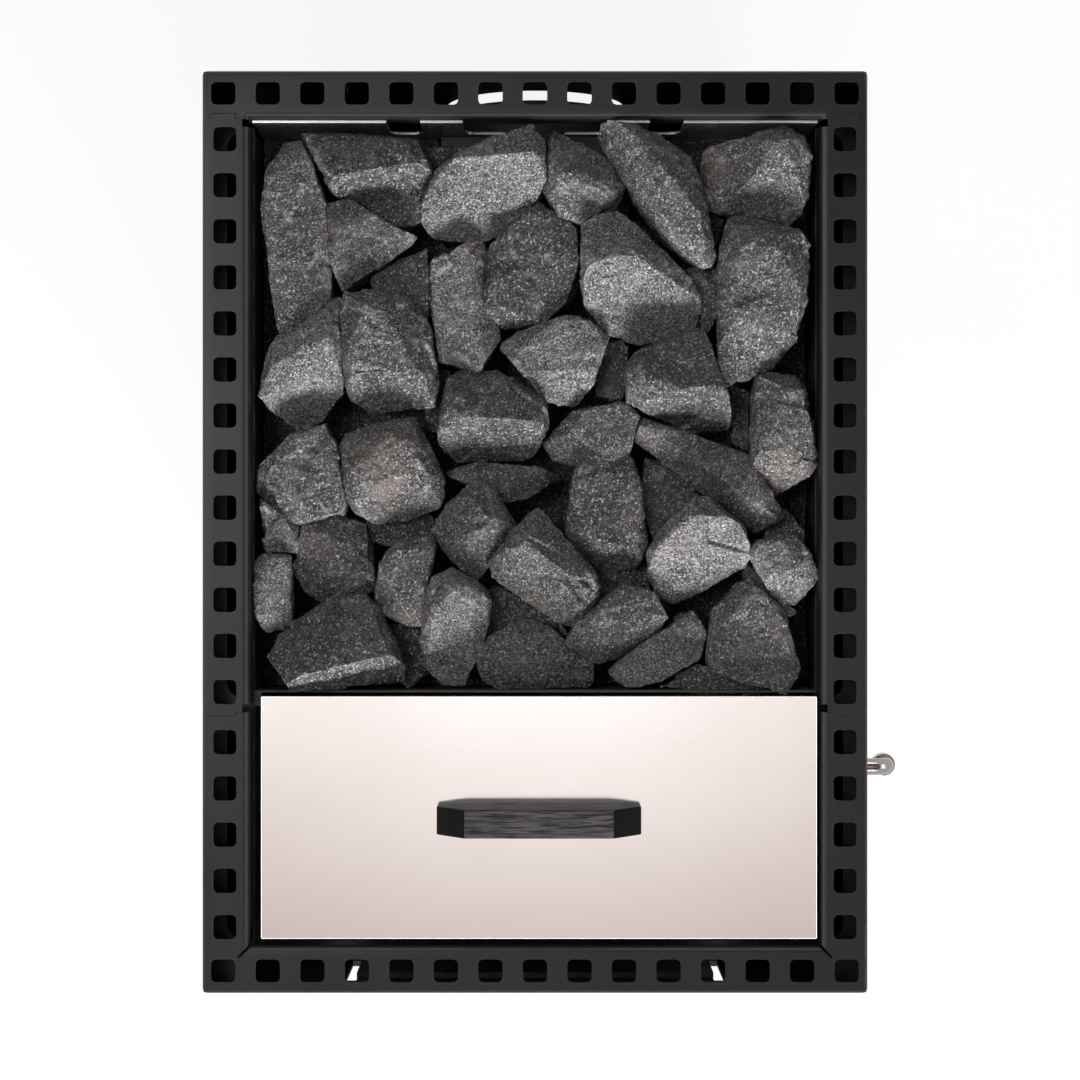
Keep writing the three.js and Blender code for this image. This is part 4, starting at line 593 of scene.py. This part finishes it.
def split_faces(solid, voxel, seed, splits):
    """A stone's mesh cut fine, with its main split faces, chips and a rough skin, the same for a seed."""
    blank = bpy.data.objects.new("blank", solid)
    bpy.context.scene.collection.objects.link(blank)
    fine = blank.modifiers.new("fine", "REMESH")
    fine.mode = "VOXEL"
    fine.voxel_size = voxel
    mesh = bpy.data.meshes.new_from_object(blank.evaluated_get(bpy.context.evaluated_depsgraph_get()))
    bpy.data.objects.remove(blank)
    chance = random.Random(seed)
    for bearing, dip, depth in splits:
        flattened(mesh, dipping(bearing, dip), depth)
    for _ in range(STONE_CHIPS if splits else 0):
        chip_facing = dipping(chance.uniform(0.0, 360.0), chance.uniform(*CHIP_DIPS))
        flattened(mesh, chip_facing, chance.uniform(*CHIP_DEPTHS))
    mesh.update()
    shift = Vector([seed * step for step in SEED_SHIFT])
    normals = [v.normal.copy() for v in mesh.vertices]
    for vertex, normal in zip(mesh.vertices, normals):
        place = vertex.co
        coarse = broken_face(place, COARSE_FACETS[0], shift) * COARSE_FACETS[1]
        fine_step = broken_face(place, FINE_FACETS[0], shift) * FINE_FACETS[1]
        grit = noise.fractal(place * GRIT[0] + shift, 0.8, 2.0, 4) * GRIT[1]
        vertex.co = place + normal * (coarse + fine_step + grit)
    for face in mesh.polygons:
        face.use_smooth = True
    mesh.set_sharp_from_angle(angle=math.radians(STONE_RIDGE))
    return mesh


for number in range(1, 19):
    node = f"stone_{number:02d}"
    stone_mesh = split_faces(cleaned_copy(node), STONE_VOXEL, number, STONE_SPLITS[node])
    stone = bpy.data.objects.new("rock_" + node, stone_mesh)
    bpy.context.scene.collection.objects.link(stone)
    stone.data.materials.append(stone_finishes[STONE_KINDS.get(node, "plain")])
    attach(stone, "stove")
    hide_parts(node)


# Stone bed
# Smaller stones are wedged under and between the loose ones, on a packed floor of broken rock.
# They are of the same rock, and nothing but their weight holds them.
ROCK_FLOOR_LEVEL = 0.729
ROCK_FLOOR_VOXEL = 0.004
ROCK_FLOOR_SEED = 40
WEDGE_FIRST_SEED = 60
WEDGE_SINK = 0.004
WEDGE_VOXEL = 0.0019
WEDGE_SHOULDER = 0.012
WEDGE_CROWN = 0.97
WEDGE_SPREAD = 0.0014
WEDGE_TAPER = 0.84
# Each wedged stone: its tone, the top's height over the rim's deck in millimetres, its split faces, and its
# outline from above in millimetres from the middle of the stone room.
WEDGED_STONES = (
    ("plain", -8, ((120, 22, 5),), (
        (-186, 138), (-183, 160), (-172, 180), (-160, 183), (-150, 165), (-143, 140), (-139, 95),
        (-138, 66), (-158, 52), (-174, 50), (-180, 85))),
    ("plain", -6, ((-60, 26, 6),), (
        (-146, 137), (-127, 141), (-100, 126), (-82, 116), (-100, 101), (-115, 92), (-131, 80),
        (-140, 100))),
    ("dark", -22, (), (
        (-113, 89), (-92, 102), (-75, 109), (-70, 80), (-76, 62), (-90, 76), (-110, 82))),
    ("pale", -8, ((190, 28, 8), (10, 42, 9)), (
        (-70, 98), (-48, 111), (-35, 114), (-31, 100), (-33, 65), (-24, 48), (-38, 24), (-66, 34),
        (-70, 70))),
    ("dark", -10, ((-100, 58, 6), (30, 18, 4)), (
        (-31, 110), (-12, 128), (3, 140), (16, 129), (28, 122), (29, 99), (21, 73), (7, 58), (-24, 54),
        (-35, 64), (-32, 85))),
    ("pale", -8, ((-85, 32, 11),), (
        (-24, 42), (-10, 52), (1, 54), (21, 61), (37, 60), (50, 48), (38, 14), (28, 3), (8, 5), (-6, 32))),
    ("rusty", -8, ((215, 42, 12),), (
        (-190, -56), (-188, -40), (-167, -20), (-143, -11), (-135, -29), (-129, -63), (-132, -72),
        (-160, -78), (-172, -74))),
    ("pale", -16, ((-100, 30, 4),), (
        (-188, -62), (-172, -74), (-162, -80), (-163, -98), (-183, -97), (-184, -80))),
    ("pale", -12, ((-95, 28, 5),), (
        (-190, -103), (-186, -101), (-168, -101), (-170, -130), (-167, -148), (-184, -154), (-190, -140),
        (-192, -115))),
    ("dark", -16, ((-110, 34, 9), (70, 26, 6)), (
        (-166, -112), (-160, -80), (-139, -73), (-116, -80), (-110, -124), (-138, -133), (-156, -124))),
    ("plain", -8, ((200, 34, 7), (-100, 42, 4)), (
        (-109, -131), (-106, -106), (-94, -92), (-70, -87), (-69, -94), (-78, -131), (-77, -148),
        (-89, -148), (-104, -140))),
    ("dark", -10, ((-105, 42, 15),), (
        (21, -86), (27, -42), (37, -28), (66, -35), (72, -55), (77, -95), (69, -108), (44, -114),
        (30, -106))),
    ("plain", -12, ((-125, 42, 10), (60, 20, 4)), (
        (69, -23), (73, -7), (105, -19), (146, -32), (158, -58), (171, -74), (159, -80), (150, -85),
        (126, -66), (88, -38))),
    ("dark", -26, (), (
        (73, -56), (77, -34), (95, -44), (112, -56), (105, -67), (82, -94), (77, -76))),
    ("pale", -8, ((-75, 30, 11),), (
        (145, -98), (153, -91), (178, -89), (186, -98), (193, -116), (179, -133), (172, -135),
        (160, -124))),
    ("plain", -20, (), (
        (143, -104), (158, -120), (180, -140), (170, -144), (148, -128))),
    ("plain", -10, ((-60, 24, 7), (150, 30, 6)), (
        (118, -172), (121, -139), (143, -119), (158, -128), (170, -138), (181, -178), (172, -195),
        (143, -187), (121, -180))),
    ("pale", -16, ((-70, 26, 5),), (
        (52, -180), (65, -172), (80, -158), (108, -139), (116, -155), (113, -171), (85, -187), (63, -192))),
    ("dark", -6, ((-60, 52, 11),), (
        (21, -161), (29, -146), (61, -120), (82, -127), (90, -144), (78, -160), (58, -170), (43, -175))),
    ("plain", -16, ((-90, 40, 12), (90, 30, 5)), (
        (-39, -173), (-31, -158), (-7, -144), (10, -150), (24, -162), (39, -173), (39, -192), (-24, -193),
        (-35, -187))),
    ("plain", -24, ((-60, 22, 4),), (
        (-63, -44), (-37, -37), (2, -40), (18, -48), (-8, -62), (-20, -64), (-40, -54))),
    ("rusty", -12, ((225, 36, 12),), (
        (8, -24), (27, -3), (45, 2), (61, 4), (71, -6), (63, -35), (31, -38), (14, -34))),
    ("dark", -28, (), (
        (160, -62), (173, -70), (184, -83), (185, -97), (158, -93))),
    ("dark", -22, (), (
        (-129, 148), (-71, 152), (-76, 130), (-90, 124), (-104, 130))),
    ("dark", -30, (), (
        (-78, 180), (-37, 181), (-50, 170), (-70, 160))),
    ("dark", -28, (), (
        (37, 43), (61, 46), (65, 26), (59, 5), (42, 9))),
    ("dark", -32, (), (
        (-118, -72), (-72, -72), (-66, -92), (-95, -96), (-112, -92))),
    ("dark", -32, (), (
        (18, -104), (46, -112), (76, -106), (80, -128), (60, -122), (30, -146), (14, -128))),
    ("dark", -30, (), (
        (-36, -126), (-24, -122), (12, -142), (24, -156), (-2, -150), (-30, -158), (-40, -150))),
    ("dark", -34, (), (
        (-100, -148), (-80, -150), (-74, -178), (-88, -192), (-96, -180))),
    ("dark", -34, (), (
        (104, 150), (116, 138), (130, 130), (124, 112), (112, 126))),
    ("plain", -20, ((-80, 30, 5),), (
        (104, 96), (124, 98), (126, 66), (118, 52), (108, 60))),
    ("dark", -30, (), (
        (18, 128), (34, 124), (36, 112), (30, 84), (22, 70), (18, 90))),
    ("dark", -34, (), (
        (-70, 30), (-58, 26), (-62, -10), (-72, -16), (-76, 0))),
    ("dark", -30, (), (
        (112, -176), (170, -194), (120, -196), (84, -192))),
    ("dark", -36, (), (
        (132, 20), (148, 12), (148, -30), (136, -22))),
)

floor_copy = bmesh.new()
floor_copy.from_mesh(cleaned_copy("stone_bed"))
floor_geometry = floor_copy.verts[:] + floor_copy.edges[:] + floor_copy.faces[:]
cut = bmesh.ops.bisect_plane(floor_copy, geom=floor_geometry, plane_co=(0.0, 0.0, ROCK_FLOOR_LEVEL),
                             plane_no=(0.0, 0.0, 1.0), clear_outer=True)
rim_edges = [edge for edge in cut["geom_cut"] if isinstance(edge, bmesh.types.BMEdge)]
bmesh.ops.triangle_fill(floor_copy, edges=rim_edges, use_beauty=True)
bmesh.ops.recalc_face_normals(floor_copy, faces=floor_copy.faces)
floor_mesh = bpy.data.meshes.new("rock_floor")
floor_copy.to_mesh(floor_mesh)
floor_copy.free()
bed = bpy.data.objects.new("rock_stone_bed", split_faces(floor_mesh, ROCK_FLOOR_VOXEL, ROCK_FLOOR_SEED, ()))
bpy.context.scene.collection.objects.link(bed)
bed.data.materials.append(stone_finishes["dark"])
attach(bed, "stove")
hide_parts("stone_bed")

room_low, room_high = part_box("stone_bed")
room_middle = Vector(((room_low[0] + room_high[0]) / 2, (room_low[1] + room_high[1]) / 2, 0.0))
deck_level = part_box("rear_rim_frame")[1][2]


def wedged_stone(top, rim):
    """The hull of a wedged stone: a flat crown, a wider shoulder and a narrower foot in the floor."""
    outline = [Vector((x / 1000, y / 1000, 0.0)) for x, y in rim]
    heart = sum(outline, Vector()) / len(outline)
    crown = deck_level + top / 1000
    work = bmesh.new()
    foot = ROCK_FLOOR_LEVEL - WEDGE_SINK
    for share, level in ((WEDGE_CROWN, crown), (1.0, crown - WEDGE_SHOULDER), (WEDGE_TAPER, foot)):
        for point in outline:
            reach = point - heart
            place = heart + reach * share + reach.normalized() * WEDGE_SPREAD + room_middle
            work.verts.new((place.x, place.y, level))
    bmesh.ops.convex_hull(work, input=work.verts)
    mesh = bpy.data.meshes.new("wedged_stone")
    work.to_mesh(mesh)
    work.free()
    return mesh


for tone, finish in stone_finishes.items():
    layer = bmesh.new()
    for seed, (kind, top, splits, rim) in enumerate(WEDGED_STONES, WEDGE_FIRST_SEED):
        if kind == tone:
            metres = [(bearing, dip, depth / 1000) for bearing, dip, depth in splits]
            layer.from_mesh(split_faces(wedged_stone(top, rim), WEDGE_VOXEL, seed, metres))
    layer_mesh = bpy.data.meshes.new("rock_wedged_" + tone)
    layer.to_mesh(layer_mesh)
    layer.free()
    wedges = bpy.data.objects.new("rock_wedged_" + tone, layer_mesh)
    bpy.context.scene.collection.objects.link(wedges)
    wedges.data.materials.append(finish)
    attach(wedges, "stove")
    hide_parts("stone_bed")


# Water tank and lid
# A stainless box stands on the front of the hot plate, under a flat lift-off lid with turned-down edges.
# The lid is mirror polished and simply lies over the tank's rim; the tank keeps its satin mill finish.
POLISHED = (0.93, 0.915, 0.905, 1.0)
POLISHED_DULL = (0.89, 0.87, 0.86, 1.0)
TANK_METAL = 0.6
LID_LINES = (5.0, 1300.0, 1300.0)
TANK_LINES = (5.0, 900.0, 900.0)
TANK_BREAK = 0.0004
LID_BREAK = 0.0009

polished_steel = bare_finish("polished_steel", POLISHED, POLISHED_DULL,
                             roughness=0.11, spread=0.035, stretch=LID_LINES, line_depth=0.00002)
tank_steel = bare_finish("tank_steel", POLISHED, POLISHED_DULL,
                         roughness=0.3, spread=0.06, stretch=TANK_LINES, line_depth=0.00004)
tank_steel.node_tree.nodes["Principled BSDF"].inputs["Metallic"].default_value = TANK_METAL
dressed("water_tank", "stove", tank_steel, TANK_BREAK)
dressed("tank_lid", "lid", polished_steel, LID_BREAK, segments=3)


# Grips
# Two bars of black stained wood with sloped ends are sawn from one section and screwed on from behind.
# One is on the lid and one on the door, and the open grain runs along each.
WOOD_DARK = (0.017, 0.0155, 0.0158, 1.0)
WOOD_GRAIN = (0.088, 0.081, 0.083, 1.0)
# The sloped ends' colour is end grain's heavier stain, made near black with painted shade.
WOOD_END_STAIN_AND_SHADE = (0.0045, 0.0042, 0.0042, 1.0)
WOOD_CLOUD = (0.03, 0.028, 0.029, 1.0)
WOOD_EDGE = (0.09, 0.083, 0.085, 1.0)
WOOD_SHINE = 0.035
ACROSS_GRAIN = (60.0, 950.0, 950.0)
UPRIGHT_GRAIN = (950.0, 950.0, 60.0)
GRIP_BREAK = 0.0009


def stained_wood(name, stretch, grain_axis):
    """Black stained open-grained wood; stretch is small along the grain. The sloped end faces are near black:
    end grain takes more stain, and the rest of that darkness is painted shade.
    """
    material, tree, shader = finish_of(name)
    rolled = grouped(tree, rolled_lines, Stretch=stretch, Cloud_Scale=30.0)
    edges = grouped(tree, worn_edges, Width=0.0012)
    pores = ranged(tree, rolled.outputs["Lines"], 0.42, 0.62, 0.0, 1.0)
    body = mixed(tree, pores, WOOD_GRAIN, WOOD_DARK)
    cloudy = mixed(tree, ranged(tree, rolled.outputs["Cloud"], 0.35, 0.7, 0.0, 0.4), body, WOOD_CLOUD)
    edge_share = ranged(tree, edges.outputs["Mask"], 0.0, 1.0, 0.0, 0.25)
    long_faces = mixed(tree, edge_share, cloudy, WOOD_EDGE)
    # Faces that slope across the grain are turned near black: partly end grain's stain, partly painted shade.
    facing = put(tree, "ShaderNodeTexCoord")
    axes = put(tree, "ShaderNodeSeparateXYZ", {0: facing.outputs["Normal"]})
    sloped = put(tree, "ShaderNodeMath", {0: axes.outputs[grain_axis]}, operation="ABSOLUTE")
    end_stain_and_shade_share = ranged(tree, sloped.outputs[0], 0.25, 0.5, 0.0, 1.0)
    tree.links.new(mixed(tree, end_stain_and_shade_share, long_faces, WOOD_END_STAIN_AND_SHADE), shader.inputs["Base Color"])
    tree.links.new(ranged(tree, rolled.outputs["Lines"], 0.3, 0.7, 0.42, 0.66), shader.inputs["Roughness"])
    shader.inputs["Specular IOR Level"].default_value = WOOD_SHINE
    bumped(tree, shader, rolled.outputs["Lines"], 0.35, 0.0003)
    return material


wood_across = stained_wood("stained_wood_across", ACROSS_GRAIN, "X")
dressed("lid_grip", "lid", wood_across, GRIP_BREAK)
wood_upright = stained_wood("stained_wood_upright", UPRIGHT_GRAIN, "Z")
dressed("door_grip", "door", wood_upright, GRIP_BREAK)


# Tap
# A steel nipple through the tank's wall, held by a lock nut inside, carries a quarter turn valve outside.
# It has a bent spout and a flat lever; all but the lever are nickel plated.
NICKEL = (0.36, 0.32, 0.3, 1.0)
NICKEL_DULL = (0.26, 0.232, 0.218, 1.0)
NICKEL_SPECKS = (400.0, 400.0, 400.0)
TAP_BREAK = 0.0005
LEVER_BREAK = 0.0008

tap_nickel = bare_finish("tap_nickel", NICKEL, NICKEL_DULL,
                         roughness=0.2, spread=0.05, stretch=NICKEL_SPECKS, line_depth=0.00005)
for part in ("tap_lock_nut", "tap_valve", "tap_spout"):
    dressed(part, "stove", tap_nickel, TAP_BREAK)
dressed("tap_lever", "lever", cast_iron, LEVER_BREAK)


# Front plate and fire door
# A heavy plate in the casing's opening, held by the firebox neck and a cross rail, carries the hinge lugs.
# The cast door has a heat-proof pane under a clamped retainer and a rope seal, and turns on one long pin.
FRONT_BREAK = 0.0006
DOOR_BREAK = 0.001
RETAINER_BREAK = 0.0003
SMALL_BREAK = 0.0004
PANE_CLEAR = (0.6, 0.54, 0.49, 1.0)
PANE_SOOTY = (0.46, 0.4, 0.36, 1.0)
ROPE_PALE = (0.34, 0.33, 0.31, 1.0)
ROPE_DARK = (0.16, 0.155, 0.15, 1.0)

for part in ("front_plate", "front_rail"):
    dressed(part, "stove", heat_paint, FRONT_BREAK)
dressed("door_frame", "door", cast_iron, DOOR_BREAK)
dressed("glass_retainer", "door", bright_sheet, RETAINER_BREAK)
dressed("hinge_pin", "stove", bright_sheet, SMALL_BREAK)

door_pane, tree, shader = finish_of("door_pane")
soot_place = put(tree, "ShaderNodeTexCoord")
soot = put(tree, "ShaderNodeTexNoise", {"Vector": soot_place.outputs["Object"], "Scale": 16.0, "Detail": 5.0})
pane_tone = mixed(tree, ranged(tree, soot.outputs[0], 0.4, 0.75, 0.0, 1.0), PANE_CLEAR, PANE_SOOTY)
tree.links.new(pane_tone, shader.inputs["Base Color"])
tree.links.new(ranged(tree, soot.outputs[0], 0.4, 0.75, 0.02, 0.12), shader.inputs["Roughness"])
shader.inputs["Transmission Weight"].default_value = 1.0
shader.inputs["IOR"].default_value = 1.5
dressed("door_glass", "door", door_pane, SMALL_BREAK)

rope_weave, tree, shader = finish_of("rope_weave")
weave_place = put(tree, "ShaderNodeTexCoord")
weave = put(tree, "ShaderNodeTexVoronoi", {"Vector": weave_place.outputs["Object"], "Scale": 700.0})
rope_tone = mixed(tree, ranged(tree, weave.outputs["Distance"], 0.1, 0.6, 0.0, 1.0), ROPE_PALE, ROPE_DARK)
tree.links.new(rope_tone, shader.inputs["Base Color"])
tree.links.new(ranged(tree, weave.outputs["Distance"], 0.1, 0.6, 0.85, 0.95), shader.inputs["Roughness"])
bumped(tree, shader, weave.outputs["Distance"], 0.6, 0.0008)
dressed("door_seal", "door", rope_weave, SMALL_BREAK)


# Ash drawer
# A folded sheet tray slides in the ash box under the grate, behind a cast face with a bar pull.
# The tray is painted black; the face is fixed to its front.
TRAY_BREAK = 0.0004
FACE_BREAK = 0.001

dressed("ash_drawer", "drawer", heat_paint, TRAY_BREAK)
dressed("ash_drawer_face", "drawer", cast_iron, FACE_BREAK)
